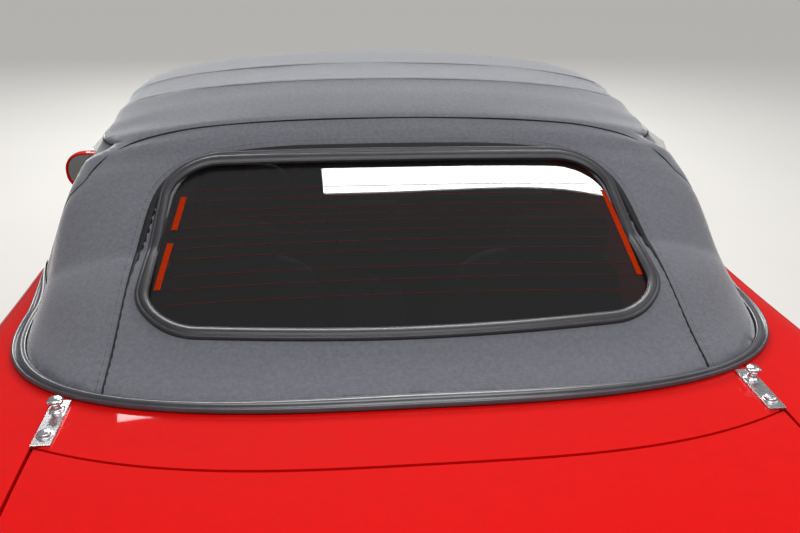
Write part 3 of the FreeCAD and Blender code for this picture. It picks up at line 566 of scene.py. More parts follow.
def cloth_offset(p):
    """How far the cloth stands off its smooth form, in mm."""
    x, y, z = p[..., 0], p[..., 1], p[..., 2]
    offset = np.zeros(x.shape)
    on_roof = smooth_step((z - 1105) / 50)
    bend = 20 * (x / 600) ** 2
    for start, stop, sag in zip(BOWS, BOWS[1:], BOW_SAGS):
        t = np.clip((y + bend - start) / (stop - start), 0, 1)
        offset -= sag * 4 * t * (1 - t) * on_roof
    up = slope_up(p)
    distance = outside_u(x, up)
    behind = smooth_step((y - REAR_BOW_Y - 15) / 20)
    offset += LAP_LIFT * smooth_step((distance + 2) / 5) * behind
    recess = RECESS_DEPTH * smooth_step((up + 60) / 120) + FOOT_RECESS_DEPTH
    offset -= recess * bell(distance + 7, 4.5) * behind
    offset -= SEAM_DEPTH * bell(y - curve(BOW_SEAM, z), 7)
    offset -= STITCH_DEPTH * bell(distance - 12, 3) * behind
    shoulder = bell(z - 1115, 42) * smooth_step((np.abs(x) - 430) / 80)
    beside_glass = smooth_step((y + 150) / 120) * (1 - smooth_step((y - 420) / 120))
    folds = np.sin((y + 0.55 * z) / 17) + 0.6 * np.sin((y - 0.35 * z) / 11 + 1.3)
    offset += FOLD_HEIGHT * folds * shoulder * beside_glass
    ease = np.sin(x / 61 + 0.7 * np.sin(y / 83)) * np.sin(y / 71 + 0.5 * np.sin(x / 97))
    offset += EASE_HEIGHT * ease
    pull = bell(distance - 45, 30) * behind
    offset += PULL_HEIGHT * np.sin(up / 31 + np.sin(x / 40)) * pull
    return offset


def keep_cloth(p):
    """Above zero where there is cloth: outside the openings and above the deck."""
    x, y, z = p[..., 0], p[..., 1], p[..., 2]
    up = slope_up(p)
    window = outside_rounded(x, up - low_edge_bow(x, up), window_corners(OPENING), OPENING[4])
    window = np.where(y > 300, window + CLOTH_UNDER_FRAME, 100)
    side = outside_rounded(y, z, SIDE_OPENING, SIDE_CORNER)
    foot = z - deck_height(x) - 5
    return np.minimum(np.minimum(window, side), foot)


def cloth_surface(p):
    """A point moved back to the smooth form, along a ray from the middle of its section."""
    return on_section(p[..., 1], np.arctan2(p[..., 0], p[..., 2] - SECTION_Z))


def cloth_grid():
    row = np.linspace(0, len(FABRIC_ROWS) - 1, CLOTH_ROWS)
    table = np.array(FABRIC_ROWS, float)
    y_middle = np.interp(row, np.arange(len(table)), table[:, 0])
    y_side = np.interp(row, np.arange(len(table)), table[:, 1])
    edge = on_side(y_side, DECK_Z - 22)
    widest = np.arctan2(edge[:, 0], edge[:, 2] - SECTION_Z)
    share = np.linspace(1, -1, CLOTH_COLUMNS)
    y = y_middle[:, None] + (y_side - y_middle)[:, None] * share ** 2
    return on_section(y, widest[:, None] * share)


def thicken(obj, thickness, offset):
    """A sheet's thickness in mm, and where it lies about the sheet."""
    solid = obj.modifiers.new("thickness", "SOLIDIFY")
    solid.thickness = thickness * MM
    solid.offset = offset


def settle_edges(points, faces):
    """Moves the edge points of the kept cloth onto its outline."""
    uses = {}
    for face in faces:
        for k in range(4):
            edge = tuple(sorted((face[k], face[(k + 1) % 4])))
            uses[edge] = uses.get(edge, 0) + 1
    rim = sorted({i for edge, count in uses.items() if count == 1 for i in edge})
    spots = points[rim]
    for _ in range(4):
        slope = gradient(keep_cloth, spots)
        length = np.maximum((slope ** 2).sum(-1), 0.2)
        move = slope * (keep_cloth(spots) / length)[:, None]
        spots = cloth_surface(spots - np.clip(move, -14, 14))
    moved = points.copy()
    front = np.abs(points[rim][:, 1] - HEADER_Y) < 1
    spots[front] = points[rim][front]
    moved[rim] = spots
    return moved


def make_cloth():
    grid = cloth_grid()
    along = np.gradient(grid, axis=0)
    across = np.gradient(grid, axis=1)
    normal = unit(np.cross(across, along))
    normal *= np.sign(normal[..., 2:3] + 1e-9 + normal[..., 0:1] * grid[..., 0:1] * 0.01)
    points = grid.reshape(-1, 3)
    kept = keep_cloth(points) > 0
    faces = [f for f in grid_faces(CLOTH_ROWS, CLOTH_COLUMNS) if sum(kept[list(f)]) >= 3]
    used = sorted({i for f in faces for i in f})
    place = {old: new for new, old in enumerate(used)}
    faces = [tuple(place[i] for i in f) for f in faces]
    points = settle_edges(points[used], faces)
    points = points + normal.reshape(-1, 3)[used] * cloth_offset(points)[:, None]
    obj = mesh_object("fabric_top", points, faces, cloth)
    if sum(p.normal.z * p.area for p in obj.data.polygons) < 0:
        obj.data.flip_normals()
    thicken(obj, CLOTH_THICKNESS, -1)
    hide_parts("soft_top")
    return obj, sum(p.area for p in obj.data.polygons)


fabric_top, cloth_area = make_cloth()


def flat_strip(path, half, lift, height):
    """A low rounded band along a path: a lap of cloth or tape."""
    normals = surface_normals(path)
    along = unit(np.gradient(path, axis=0))
    side = unit(np.cross(along, normals))
    rows = []
    for across, rise in ((-1, -1.5), (-0.9, 0.6), (-0.6, 1), (0.6, 1), (0.9, 0.6), (1, -1.5)):
        rows.append(path + side * half * across + normals * (lift + height * rise))
    points = np.stack(rows, 1)
    return points.reshape(-1, 3), grid_faces(len(path), 6)


def u_path(outward=0, count=440):
    """Points along the sewn U round the rear window, from one foot over the arch to the other."""
    turn = np.linspace(0, math.pi, 4000)
    c, s = np.cos(turn), np.sin(turn)
    power = 2 / U_POWER
    high = U_TOP * np.abs(s) ** power
    x = np.sign(c) * (U_HALF - U_TAPER * high) * np.abs(c) ** power
    feet = np.linspace(U_FOOT, 0, 400, endpoint=False)
    foot_x = U_HALF - U_FOOT_SPREAD * feet
    x = np.concatenate((foot_x, x, -foot_x[::-1]))
    up = np.concatenate((feet, high, feet[::-1]))
    flat = np.stack((x, up), -1)
    step = np.r_[0, np.cumsum(np.linalg.norm(np.diff(flat, axis=0), axis=1))]
    at = np.linspace(0, step[-1], count)
    x = np.interp(at, step, flat[:, 0])
    up = np.interp(at, step, flat[:, 1])
    direction = unit(np.gradient(np.stack((x, up), -1), axis=0))
    out = np.stack((direction[:, 1], -direction[:, 0]), -1)
    return x + out[:, 0] * outward, up + out[:, 1] * outward


def sewn_u():
    """Near-black strip along the cut round the rear window's panel: painted shade of the recess between the
    lap and the frame. Also the stitches beside it.
    """
    # The strip is painted shade, so its width follows the shadow: narrow low down, wider up the sides and
    # over the arch.
    share = smooth_step((u_path()[1] + 110) / 190)
    width = 2.8 + 11 * share
    outer = on_slope(*u_path(1.2))
    along = unit(np.gradient(outer, axis=0))
    normals = surface_normals(outer)
    toward_window = unit(np.cross(along, normals))
    rows = []
    for across, rise in ((0, 0.8), (0.1, 2.3), (0.8, 2.3), (1, -2.5)):
        rows.append(outer + toward_window * (width * across)[:, None] + normals * rise)
    points = np.stack(rows, 1).reshape(-1, 3)
    joined("painted_shade_recess_strip", [(points, grid_faces(len(outer), 4))], piping_and_shade_look)
    lap_stitches(*u_path(11, 340))


def lap_stitches(x, up):
    """Short threads along a line on the sloping back, with a gap between each."""
    centres = on_slope(x, up)
    normals = surface_normals(centres)
    lifted = centres + normals * (cloth_offset(centres)[:, None] + 0.3)
    parts = []
    for k in range(1, len(lifted) - 1):
        along = unit(lifted[k + 1] - lifted[k - 1])
        path = [lifted[k] - along * 1.9 - normals[k] * 0.5, lifted[k] + normals[k] * 0.35,
                lifted[k] + along * 1.9 - normals[k] * 0.5]
        parts.append(tube_mesh(path, 0.4, 5))
    joined("lap_stitches", parts, thread_look)


sewn_u()


def bow_line(y_middle, sweep):
    """Points across the roof at a bow, falling back or forward towards the sides."""
    x = np.linspace(-540, 540, 181)
    y = y_middle + sweep * (np.abs(x) / 600) ** 3
    return hit(points_at(x, y, 1000), UPRIGHT, 400)


def bow_seam():
    """Points of the rear bow's seam, from the belt on one side over the roof to the other."""
    turn = np.linspace(-1.25, 1.25, 401)
    y = np.full(turn.shape, REAR_BOW_Y)
    for _ in range(60):
        path = on_section(y, turn)
        y = 0.5 * y + 0.5 * curve(BOW_SEAM, path[:, 2])
    return path[path[:, 2] > deck_height(path[:, 0]) + 8]


def roof_seams():
    """Piping over the rear bow and low sewn laps over the bows ahead of it."""
    path = bow_seam()
    joined("rear_bow_piping", [tube_mesh(path - surface_normals(path) * 0.9, 1.9, 12)], piping_and_shade_look)
    laps = []
    for y_middle, sweep in ((195, -30), (75, -22)):
        path = bow_line(y_middle, sweep)
        laps.append(flat_strip(path, 8, -0.8, 0.5))
    joined("bow_laps", laps, cloth)


roof_seams()


def side_seals():
    """Slim rubber seal inside each side opening's edge of the fabric."""
    loop = rounded_loop(SIDE_OPENING, SIDE_CORNER, 10, 60)
    above_deck = loop[:, 1] > deck_height(690) + 8
    inside = (loop[:, 0] > HEADER_Y + 6) & above_deck
    first = int(np.argmax(above_deck))
    loop = np.roll(loop, -first, 0)[np.roll(inside, -first)]
    path = on_side(loop[:, 0], loop[:, 1])
    left = tube_mesh(path - surface_normals(path) * 4.6, 2.6)
    joined("side_seals", [left, mirrored(left)], rubber)


side_seals()


def corner_panels():
    """Lining of the cloth inside each side window's upper rear corner, behind the glass."""
    share = np.linspace(0, 1, 16)[:, None]
    y = SIDE_REAR_LOW_Y + 8 + (370 - SIDE_REAR_LOW_Y - 130 * share ** 1.4) * share.T
    edge = on_side(y, 1030 + 104 * share)
    panel = (edge - surface_normals(edge) * 6.9, grid_faces(16, 16))
    obj = joined("corner_linings", [panel, mirrored(panel)], cloth)
    thicken(obj, 2, 0)


corner_panels()


# Rear window's frame, glass heater and belt moulding

def window_frame():
    """Moulded frame with a raised outer bead and a flat inner lip down to the glass."""
    outer = window_loop(FRAME)
    inner = window_loop(GLASS)
    rows = []
    profile = (
        (0, -3), (0, 3.5), (0.03, 5.6), (0.09, 7), (0.17, 7.6), (0.24, 7.2), (0.28, 6.2),
        (0.32, 6.4), (0.38, 7.8), (0.5, 8.6), (0.64, 8.4), (0.78, 7.2), (0.88, 5.2), (0.91, 4.4),
        (0.93, 4.9), (0.96, 5), (0.985, 4.3), (1, 2.6), (1, -1),
    )
    for across, rise in profile:
        flat = outer + (inner - outer) * across
        rows.append(on_slope(flat[:, 0], flat[:, 1], rise))
    points = np.stack(rows, 1)
    obj = mesh_object("window_frame", points, grid_faces(len(outer), len(profile), True), satin)
    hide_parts("rear_window_frame")


window_frame()


# Depths of the pane's faces under the fabric's line
PANE_TOP = 1.4
PANE_BOTTOM = 5.6
PANE = (443, 427, -219, 216, 93)


def pane_terms(x, up):
    """Terms of a smooth bowed surface, by distances scaled to the pane's size."""
    x, up = np.broadcast_arrays(x, up)
    across = (x / 440) ** 2
    rise = up / 205
    return np.stack((across * 0 + 1, across, across ** 2, rise, across * rise), -1)


def fit_pane():
    """The smooth surface nearest to the fabric's slope over the window."""
    x, up = np.reshape(np.meshgrid(np.linspace(-430, 430, 30), np.linspace(-200, 200, 20)), (2, -1))
    height = (on_slope(x, up) - WINDOW_MIDDLE) @ SLOPE_OUT
    return np.linalg.lstsq(pane_terms(x, up), height, rcond=None)[0]


PANE_SHAPE = fit_pane()


def on_pane(x, up, lift):
    """Points on the pane's smooth surface, by distance from the middle and distance up the slope."""
    return over_slope(x, up, pane_terms(x, up) @ PANE_SHAPE + lift)


def rear_pane():
    """Smooth curved pane whose edge lies under the frame's lip."""
    edge = window_loop(PANE)
    shares = np.r_[0.02, np.linspace(0.07, 0.96, 22), 0.985, 1]
    rows = [on_pane(edge[:, 0] * s, edge[:, 1] * s, -PANE_TOP) for s in shares]
    rows += [on_pane(edge[:, 0] * s, edge[:, 1] * s, -PANE_BOTTOM) for s in shares[::-1]]
    faces = grid_faces(len(rows), len(edge), False, True) + row_ends(len(rows), len(edge))
    obj = mesh_object("rear_pane", np.array(rows), faces, glass_look)
    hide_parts("rear_window")


rear_pane()

# Heater: height up the slope of each line, and the bars at its ends as (side, distance from the
# middle, its change with height, up from, up to)
HEATER_LINES = (143, 114, 85, 65, 45, 19, -7, -33, -73, -103, -137)
HEATER_BARS = ((1, 411, 0.10, 130, 42), (1, 411, 0.10, 9, -100), (-1, 421, 0.03, 126, -100))
HEATER_LIFT = -1.1


def heater():
    parts = []
    for up in HEATER_LINES:
        x = np.linspace(-412, 405, 90)
        parts.append(tube_mesh(on_pane(x, float(up), HEATER_LIFT), 0.32, 5))
    joined("heater_lines", parts, line_look)
    bars = []
    for side, middle, change, start, stop in HEATER_BARS:
        up = np.linspace(start, stop, 14)
        path = on_pane(side * (middle - change * up), up, HEATER_LIFT)
        bars.append(flat_strip(path, 5.6, 0, 0.12))
    joined("heater_bars", bars, heater_look)


heater()


# Outer edge of the belt moulding: half width, reach behind its middle, and where that is
BELT_HALF = 676
BELT_REACH = 358
BELT_Y = 644
BELT_POWER = 2.77


def belt_edge(turn):
    """Points on the outer edge of the belt moulding, by angle from the car's side."""
    c, s = np.abs(np.cos(turn)), np.abs(np.sin(turn))
    q = (c / BELT_HALF) ** BELT_POWER + (s / BELT_REACH) ** BELT_POWER
    reach = q ** (-1 / BELT_POWER)
    side = np.where(np.cos(turn) >= 0, 1, -1)
    return np.stack((reach * c * side, BELT_Y + reach * s), -1)


def belt_lines():
    """Outer edge and inner foot of the moulding, front left to front right."""
    ahead = np.linspace(-220, 0, 30, endpoint=False)
    edge = belt_edge(np.linspace(0, math.pi, 181))
    left = np.stack((BELT_HALF * (1 + 0.0002 * np.abs(ahead)), BELT_Y + ahead), -1)
    edge = np.concatenate((left, edge, (left * np.array((-1, 1)))[::-1]))
    middle = np.stack((np.zeros(len(edge)), np.minimum(edge[:, 1], 600)), -1)
    out = unit(edge - middle)
    height = deck_height(edge[:, 0]) + 2.5
    origin = np.column_stack((middle, height))
    foot = hit(origin, np.column_stack((out, np.zeros(len(out)))))
    return edge, foot[:, :2] + out * 1


def belt():
    """Double-ridged rubber moulding with a thin lip up to the fabric."""
    edge, foot = belt_lines()
    profile = (
        (0, 1), (0, 5), (0.05, 8.5), (0.14, 10.5), (0.24, 9.5), (0.31, 6), (0.38, 6),
        (0.46, 11), (0.6, 14), (0.78, 14.5), (0.92, 13), (1, 14.5), (1.09, 12), (1.09, 1),
    )
    rows = []
    for across, rise in profile:
        flat = edge + (foot - edge) * across
        rows.append(np.column_stack((flat, deck_height(flat[:, 0]) + rise)))
    points = np.stack(rows, 1)
    faces = grid_faces(len(edge), len(profile), False, True) + row_ends(len(edge), len(profile))
    obj = mesh_object("belt_strip", points, faces, belt_look)
    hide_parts("belt_moulding")


belt()


# Fixings of the hard roof on the deck

PLATE_X = 534
PLATE_Y = 929


def deck_plates():
    """Flat steel plate on each side of the deck."""
    plate = block((PLATE_X, PLATE_Y + 53.5, 895), (28, 107, 7), 0.6, 1)
    obj = joined("deck_plates", [plate, mirrored(plate)], steel_look, "root", False)
    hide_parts("deck_brackets")


deck_plates()


def roof_fixings():
    """Collar and rounded head of each stud, and a slotted screw with a washer."""
    parts = []
    stud = (PLATE_X, PLATE_Y + 26, 898.5)
    head = (
        (11.5, 0), (11.5, 1.2), (8, 2.4), (6.4, 3.5), (6.2, 12), (9, 13), (11, 14.2), (11.2, 17.5),
        (9.5, 20), (6, 21.6), (0.01, 22.2),
    )
    parts.append(lathe(head, stud, (0, 0, 1), 36))
    for k in range(3):
        turn = math.radians(30 + 120 * k)
        lobe = (stud[0] + 9 * math.cos(turn), stud[1] + 9 * math.sin(turn), stud[2] + 16.5)
        parts.append(lathe(((0.01, -3), (3, -2.2), (4.2, 0), (3, 2.2), (0.01, 3)), lobe, (0, 0, 1), 14))
    screw = (PLATE_X, PLATE_Y + 84, 898.5)
    parts.append(lathe(((12, 0), (12, 1), (10.5, 1.5), (9.4, 1.6)), screw, (0, 0, 1), 36))
    parts.append(lathe(((9.2, 0.5), (9.2, 4), (7.5, 5.2), (4, 5.8), (0.01, 5.9)), screw, (0, 0, 1), 36))
    parts.append(block((screw[0], screw[1], screw[2] + 5.6), (12.5, 1.6, 1.2), 0.3, 1))
    joined("roof_fixings", parts + [mirrored(m) for m in parts], steel_look)


roof_fixings()


# Wheels

# Places of the left wheels' middles, across and along the car
WHEELS = (("front", 707.5, -1192.5), ("rear", 720, 1072.5))
AXLE_Z = 288
TREAD_BLOCKS = 66

# Half section of a tyre: radius, distance from the middle, and whether tread is cut there
TYRE_SECTION = (
    (198, -90, 0), (206, -95, 0), (216, -95.5, 0), (226, -97, 0), (240, -97.3, 0), (256, -96, 0),
    (268, -92, 0), (277, -85, 1), (283.5, -76, 1), (286.5, -62, 1), (286.8, -55, 1), (280, -53.5, 0),
    (280, -46, 0), (287, -44.5, 1), (287.6, -30, 1), (287.8, -24, 1), (280, -22.5, 0), (280, -15, 0),
    (287.9, -13.5, 1), (288, 0, 1),
)
TREAD_START = 7
TREAD_DEPTH = 6.5


def tyre(name, node, x, y, body):
    rows = list(TYRE_SECTION)
    rows += [(r, -a, cut) for r, a, cut in reversed(rows[:-1])]
    segments = TREAD_BLOCKS * 4
    turn = np.linspace(0, 2 * math.pi, segments, endpoint=False)
    points = []
    for radius, along, cut in rows:
        slant = int(round(abs(along) / 12))
        phase = (np.arange(segments) + slant) % 4
        r = radius - np.where((phase == 0) & bool(cut), TREAD_DEPTH, 0)
        points.append(points_at(x + along, y + r * np.cos(turn), AXLE_Z + r * np.sin(turn)))
    faces = grid_faces(len(rows), segments, False, True)
    obj = mesh_object(name, np.array(points), faces, tyre_look, body, False)
    for poly, row in zip(obj.data.polygons, np.repeat(np.arange(len(rows) - 1), segments)):
        poly.use_smooth = not TREAD_START <= row <= len(rows) - 2 - TREAD_START
    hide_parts(node)


def rim_details(name, x, y, side, body):
    """Centre cap, wheel nuts and the rim's stepped lip."""
    out = (side, 0, 0)
    centre = (x, y, AXLE_Z)
    parts = [lathe(((29, 58), (29, 64), (26, 67.5), (14, 69.5), (0.01, 70)), centre, out, 40)]
    for k in range(4):
        turn = math.radians(90 * k + 45)
        nut = (x, y + 50 * math.cos(turn), AXLE_Z + 50 * math.sin(turn))
        parts.append(lathe(((9.5, 58), (9.5, 68), (8, 70), (0.01, 70)), nut, out, 6))
    lip = ((196, 86), (203, 88), (205, 93), (204, 97), (199, 98.5), (192, 97), (189, 90), (186, 76))
    parts.append(lathe(lip, centre, out, 72))
    joined(name, parts, alloy_look, body)


for end, wheel_x, wheel_y in WHEELS:
    for hand, side in HANDS:
        label = end + "_" + hand
        tyre("treaded_tyre_" + label, "tyre_" + label, side * wheel_x, wheel_y, "wheel_" + label)
        rim_details("wheel_trim_" + label, side * wheel_x, wheel_y, side, "wheel_" + label)


# Cabin

def padded_form(size, place, lean, bolster, crown, cuts):
    """A foam pad: crowned in the middle, raised at its sides, with sewn channels across."""
    bm = bmesh.new()
    bmesh.ops.create_cube(bm, size=2)
    bmesh.ops.subdivide_edges(bm, edges=bm.edges[:], cuts=18, use_grid_fill=True)
    points = np.array([v.co for v in bm.verts])
    bm.verts.index_update()
    faces = [tuple(v.index for v in f.verts) for f in bm.faces]
    bm.free()
    x, y, z = points.T
    round_x = np.sqrt(np.maximum(1 - 0.28 * y ** 4 - 0.22 * z ** 4, 0.2))
    round_y = np.sqrt(np.maximum(1 - 0.25 * x ** 4 - 0.2 * z ** 4, 0.2))
    lift = crown * (1 - x * x) * (1 - y ** 4)
    lift = lift + bolster * bell(np.abs(x) - 0.78, 0.17) * (1 - y ** 6)
    for channel in cuts:
        lift = lift - 9 * bell(y - channel, 0.05) * (np.abs(x) < 0.62)
    lift = lift - 10 * bell(np.abs(x) - 0.62, 0.045)
    height = z * size[2] / 2 + lift * np.clip(z, 0, 1)
    shape = np.stack((x * round_x * size[0] / 2, y * round_y * size[1] / 2, height), -1)
    turn = np.array(Matrix.Rotation(math.radians(lean), 3, "X"))
    return shape @ turn.T + np.array(place), faces


SEAT_X = 335


def seats():
    """Cushion, back and head restraint of each seat."""
    for hand, side in HANDS:
        x = SEAT_X * side
        pads = (
            ("cushion", padded_form((430, 470, 130), (x, 175, 330), 4, 26, 14, (-0.45, 0, 0.45))),
            ("backrest", padded_form((396, 520, 78), (x, 450, 632), 101.5, 22, 8, (-0.5, -0.1, 0.3))),
            ("headrest", padded_form((210, 100, 44), (x, 521, 965), 98, 0, 8, ())),
        )
        for label, (points, faces) in pads:
            obj = mesh_object("seat_%s_%s" % (label, hand), points, faces, leather_look)
            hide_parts("seats")


seats()


WHEEL_CENTRE = (300, -190, 830)
WHEEL_AXIS = (0, 0.92, 0.39)


def cabin_details():
    """Instrument hood, vents, centre stack, gear lever, hand brake and steering wheel's pad."""
    parts = [block((300, -408, 852), (330, 120, 44), 18)]
    vent = ((34, 0), (38, 4), (38, 10), (30, 12), (28, 6), (0.01, 5))
    for x in (-480, -90, 90, 480):
        parts.append(lathe(vent, (x, -348, 765), (0, 1, 0.18), 28))
        for k in (-14, 0, 14):
            parts.append(block((x, -342, 765 + k), (52, 3, 4), 1, 1))
    parts.append(block((0, -338, 640), (200, 60, 190), 16))
    for x in (-58, 0, 58):
        parts.append(lathe(((22, 0), (22, 8), (18, 14), (0.01, 14)), (x, -306, 600), (0, 1, 0), 24))
    parts.append(block((0, 40, 452), (190, 620, 30), 12))
    lever = ((28, 0), (22, 14), (9, 50), (8, 78), (20, 88), (24, 104), (19, 120), (0.01, 126))
    parts.append(lathe(lever, (0, -110, 462), (0, 0.12, 1), 28))
    brake = [(70, 60, 470), (70, 150, 488), (70, 230, 512), (70, 265, 524)]
    parts.append(tube_mesh(brake, (15, 14, 13, 9), 12))
    parts.append(block((0, -470, 838), (1080, 150, 26), 12))
    joined("cabin_fittings", parts, plastic_look)
    pad = ((0.01, -2), (58, -4), (70, -12), (72, -24), (56, -36))
    pad_mesh = lathe(pad, WHEEL_CENTRE, WHEEL_AXIS, 40)
    joined("wheel_pad", [pad_mesh], plastic_look, "steering_wheel")


cabin_details()


# Fittings on the painted body

def skin(node, point, ray):
    """Where a ray meets a CAD node's outer face, as a place and a normal, in mm."""
    place, normal = nodes[node].ray_cast(Vector(point) * MM, Vector(ray))[1:3]
    return np.array(place) / MM, np.array(normal)


PLATE = (520, 110)


def plates():
    """A blank registration plate in a plain holder on each bumper."""
    for end, behind, z in (("rear", 1, 600), ("front", -1, 462)):
        spots = [(x, behind * 2600, z + rise) for x in (-250, 0, 250) for rise in (-55, 55)]
        found = [skin(end + "_bumper", spot, (0, -behind, 0))[0] for spot in spots]
        y = max(abs(p[1]) for p in found) * behind + 5 * behind
        holder = block((0, y, z), (PLATE[0] + 14, 8, PLATE[1] + 14), 3)
        supports = [block((x, y - behind * 22, z), (60, 44, 70), 6) for x in (-190, 0, 190)]
        joined(end + "_plate_holder", [holder, *supports], satin)
        joined(end + "_plate", [block((0, y + 5 * behind, z), (PLATE[0], 3, PLATE[1]), 1.2)], plate_look)


plates()


def grille():
    """Slats across the front bumper's mouth."""
    parts = []
    for k in range(5):
        z = 245 + 33 * k
        half = 322 - (z - 225) * 0.24
        x = np.linspace(-half, half, 25)
        parts.append(tube_mesh(points_at(x, -1880 + 0.00018 * x * x, z), 5.5, 8))
    for x in (-220, -110, 0, 110, 220):
        parts.append(tube_mesh([(x, -1874, 228), (x, -1874, 392)], 4.5, 8))
    joined("grille", parts, satin)


grille()

# Rows of a door handle's grip: place along the car from its middle, distance off the skin, radius
GRIP = ((-62, 4, 6), (-50, 16, 8), (0, 22, 9), (50, 16, 8), (62, 4, 6))


def door_handles():
    for hand, side in HANDS:
        place, normal = skin("door_" + hand, (side * 1200, 250, 760), (-side, 0, 0))
        cup = lathe(((44, -2), (44, 1), (40, 1.6), (30, -2.5), (0.01, -3)), place, normal, 36)
        path = [place + normal * off + (0, y, 0) for y, off, _ in GRIP]
        grip = tube_mesh(path, [radius for _, _, radius in GRIP], 14)
        joined("door_handle_" + hand, [cup, grip], paint, "door_" + hand)


door_handles()


def lamp_rings(name, node, behind, spots, look):
    """Round lens elements set on a pair of lamps. Spots are (x, z, radius)."""
    parts = []
    for x, z, radius in spots:
        ring = ((radius + 5, -3), (radius + 5, 1.5), (radius + 2, 3), (radius, 1.5), (radius * 0.96, 0.6),
                (radius * 0.7, 3), (radius * 0.35, 4.6), (0.01, 5.2))
        place, normal = skin(node, (x, behind * 2600, z), (0, -behind, 0))
        mesh = lathe(ring, place, normal, 40)
        parts += [mesh, mirrored(mesh)]
    joined(name, parts, look)


lamp_rings("tail_lamp_lenses", "tail_lamps", 1, ((590, 708, 34), (672, 704, 27)), red_lens)
lamp_rings("rear_indicator_lenses", "tail_lamps", 1, ((530, 676, 18),), amber_lens)
lamp_rings("headlamp_lenses", "headlamps", -1, ((560, 588, 34), (645, 590, 34)), clear_lens)


def wipers():
    """Two arms with blades lying at the windscreen's foot."""
    parts = []
    for pivot_x, reach in ((470, -560), (-60, -520)):
        spots = [(x, -1150, 945) for x in np.linspace(pivot_x, pivot_x + reach, 9)]
        blade = [skin("windscreen", spot, (0, 1, 0))[0] + (0, -9, 9) for spot in spots]
        base = blade[0] + (0, -40, -60)
        parts.append(tube_mesh(blade, 4, 8))
        parts.append(tube_mesh([p + (0, -9, 12) for p in blade[:5]], 5, 8))
        parts.append(tube_mesh([base, (base + blade[0]) / 2 + (0, -6, 10), blade[0]], 6, 8))
    joined("wipers", parts, satin)


wipers()


MIRROR_CENTRE = (816, 846)
MIRROR_HALF = (62.5, 56.5)
MIRROR_POWER = 2.35
MIRROR_FOOT = (744.5, -345, 861)

# Rows of the mirror's shell and glass: share of its outline, place along the car
MIRROR_SHELL = (
    (0.88, -326), (0.90, -315), (0.93, -311.5), (0.97, -311), (1, -314), (1.02, -325), (1, -340),
    (0.93, -354), (0.80, -366), (0.60, -375), (0.35, -379.5), (0.01, -381),
)
MIRROR_GLASS = ((0.90, -318.5), (0.7, -318.9), (0.4, -319.2), (0.02, -319.3))


def mirror_rows(profile):
    """Points and faces of rows round the left mirror's outline."""
    turn = np.linspace(0, 2 * math.pi, 64, endpoint=False)
    c, s = np.cos(turn), np.sin(turn)
    reach = (np.abs(c) ** MIRROR_POWER + np.abs(s) ** MIRROR_POWER) ** (-1 / MIRROR_POWER)
    rows = []
    for share, y in profile:
        x = MIRROR_CENTRE[0] + c * reach * MIRROR_HALF[0] * share
        z = MIRROR_CENTRE[1] + s * reach * MIRROR_HALF[1] * share
        rows.append(points_at(x, y, z))
    return np.array(rows).reshape(-1, 3), grid_faces(len(profile), 64, False, True)


def mirrors():
    """Painted shell, foot and arm of each door mirror with the glass set back in its rim."""
    foot = block(MIRROR_FOOT, (25, 104, 44), 9)
    arm = block((772, -340, 859), (50, 28, 24), 8)
    shell = [mirror_rows(MIRROR_SHELL), foot, arm]
    glass = [mirror_rows(MIRROR_GLASS)]
    for hand in ("left", "right"):
        if hand == "right":
            shell = [mirrored(mesh) for mesh in shell]
            glass = [mirrored(mesh) for mesh in glass]
        obj = joined("mirror_shell_" + hand, shell, paint, "door_" + hand)
        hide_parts("mirror_" + hand)
        joined("mirror_glass_" + hand, glass, mirror_look, "door_" + hand)


mirrors()


def small_fittings():
    """Side indicators, fuel flap's seam, exhaust tip and stop lamp."""
    lens = lathe(((26, -1), (25, 2), (20, 4.5), (10, 6), (0.01, 6.5)),
                 *skin("fenders", (1200, -780, 640), (-1, 0, 0)), 32)
    joined("side_indicators", [lens, mirrored(lens)], amber_lens)
    seam = lathe(((75, -1), (75, 0.8), (73, 1.2), (72, 0.2), (71.5, -1)),
                 *skin("quarters", (-1200, 780, 760), (1, 0, 0)), 64)
    joined("fuel_flap_seam", [seam], shell_look)
    tip = ((27, 0), (27, 60), (31, 62), (33, 70), (33, 78), (30, 80), (27.5, 76), (26, 10))
    joined("exhaust_tip", [lathe(tip, (-330, 1885, 168), (0, 1, 0), 40)], steel_look)
    place = skin("boot_lid", (0, 1850, 1200), (0, 0, -1))[0] + (0, 0, 3)
    joined("stop_lamp", [block(place, (250, 26, 12), 5)], red_lens, "boot_lid")


small_fittings()


# Floor, light and camera

def pale_to_viewers(tree, for_light, for_viewers, socket):
    """One strength for the light that reaches the object, another for what is seen directly."""
    seen = add_node(tree, "LightPath", {}).outputs["Is Camera Ray"]
    strength = add_node(tree, "MapRange", {"Value": seen, "To Min": for_light, "To Max": for_viewers})
    tree.links.new(strength.outputs["Result"], socket)


FLOOR_HALF = 120

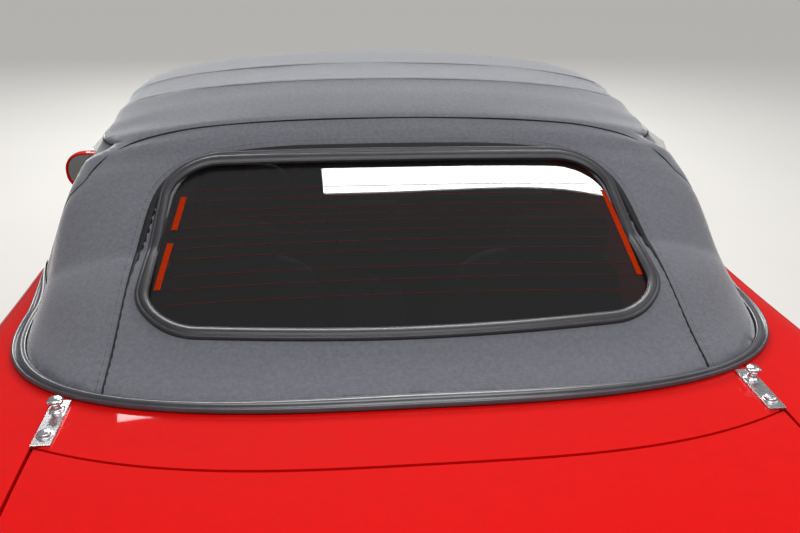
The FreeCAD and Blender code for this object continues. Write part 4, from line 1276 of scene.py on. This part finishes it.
# Lamps: name, place, size across and along in metres, power in watts, turns about X, Y and Z
LAMPS = (
    ("left", (3.3, 0.9, 3.4), (1.8, 3), 3, (0, 50, 0)),
    ("right", (-3.3, 0.9, 3.4), (1.8, 3), 34, (0, -50, 0)),
    ("behind", (0, 2.7, 4), (3.5, 1.6), 95, (-32, 0, 0)),
    ("strip", (-0.69, -0.593, 3.1), (1.69, 0.145), 15, (0, 0, 1.25)),
    ("front", (0, -4.6, 3.6), (4.5, 2), 430, (60, 0, 0)),
)


def pale_floor():
    """A wide floor, paler to the camera than to the object."""
    look = material("floor", "floor", (0.30, 0.29, 0.27), 0.7, (900, 0.02), (3, 0.1),
                    sockets={"Emission Color": (1, 0.985, 0.95, 1)})
    shader = look.node_tree.nodes["Principled BSDF"]
    pale_to_viewers(look.node_tree, 0, 0.36, shader.inputs["Emission Strength"])
    mesh = bpy.data.meshes.new("floor")
    corners = [(x * FLOOR_HALF, y * FLOOR_HALF, 0) for x, y in ((-1, -1), (1, -1), (1, 1), (-1, 1))]
    mesh.from_pydata(corners, [], [(0, 1, 2, 3)])
    mesh.materials.append(look)
    placed("floor", mesh)


def studio():
    world = bpy.data.worlds.new("studio")
    world.use_nodes = True
    background = world.node_tree.nodes["Background"]
    background.inputs["Color"].default_value = (0.96, 0.97, 1, 1)
    pale_to_viewers(world.node_tree, 0.24, 0.82, background.inputs["Strength"])
    bpy.context.scene.world = world
    for name, place, size, power, turn in LAMPS:
        lamp = bpy.data.lights.new(name, "AREA")
        lamp.shape = "RECTANGLE"
        lamp.size, lamp.size_y = size
        lamp.energy = power
        obj = placed(name, lamp)
        obj.location = place
        obj.rotation_euler = [math.radians(t) for t in turn]


def camera():
    data = bpy.data.cameras.new("camera")
    data.lens = CAMERA_LENS
    data.sensor_width = 36
    obj = placed("camera", data)
    turn = Matrix.Rotation(math.radians(CAMERA_HEADING), 4, "Z")
    tilt = Matrix.Rotation(math.radians(90 - CAMERA_TILT), 4, "X")
    roll = Matrix.Rotation(math.radians(CAMERA_ROLL), 4, "Z")
    obj.matrix_world = Matrix.Translation(CAMERA_PLACE) @ turn @ tilt @ roll
    bpy.context.scene.camera = obj


pale_floor()
studio()
camera()
bpy.context.scene.view_settings.view_transform = "Standard"
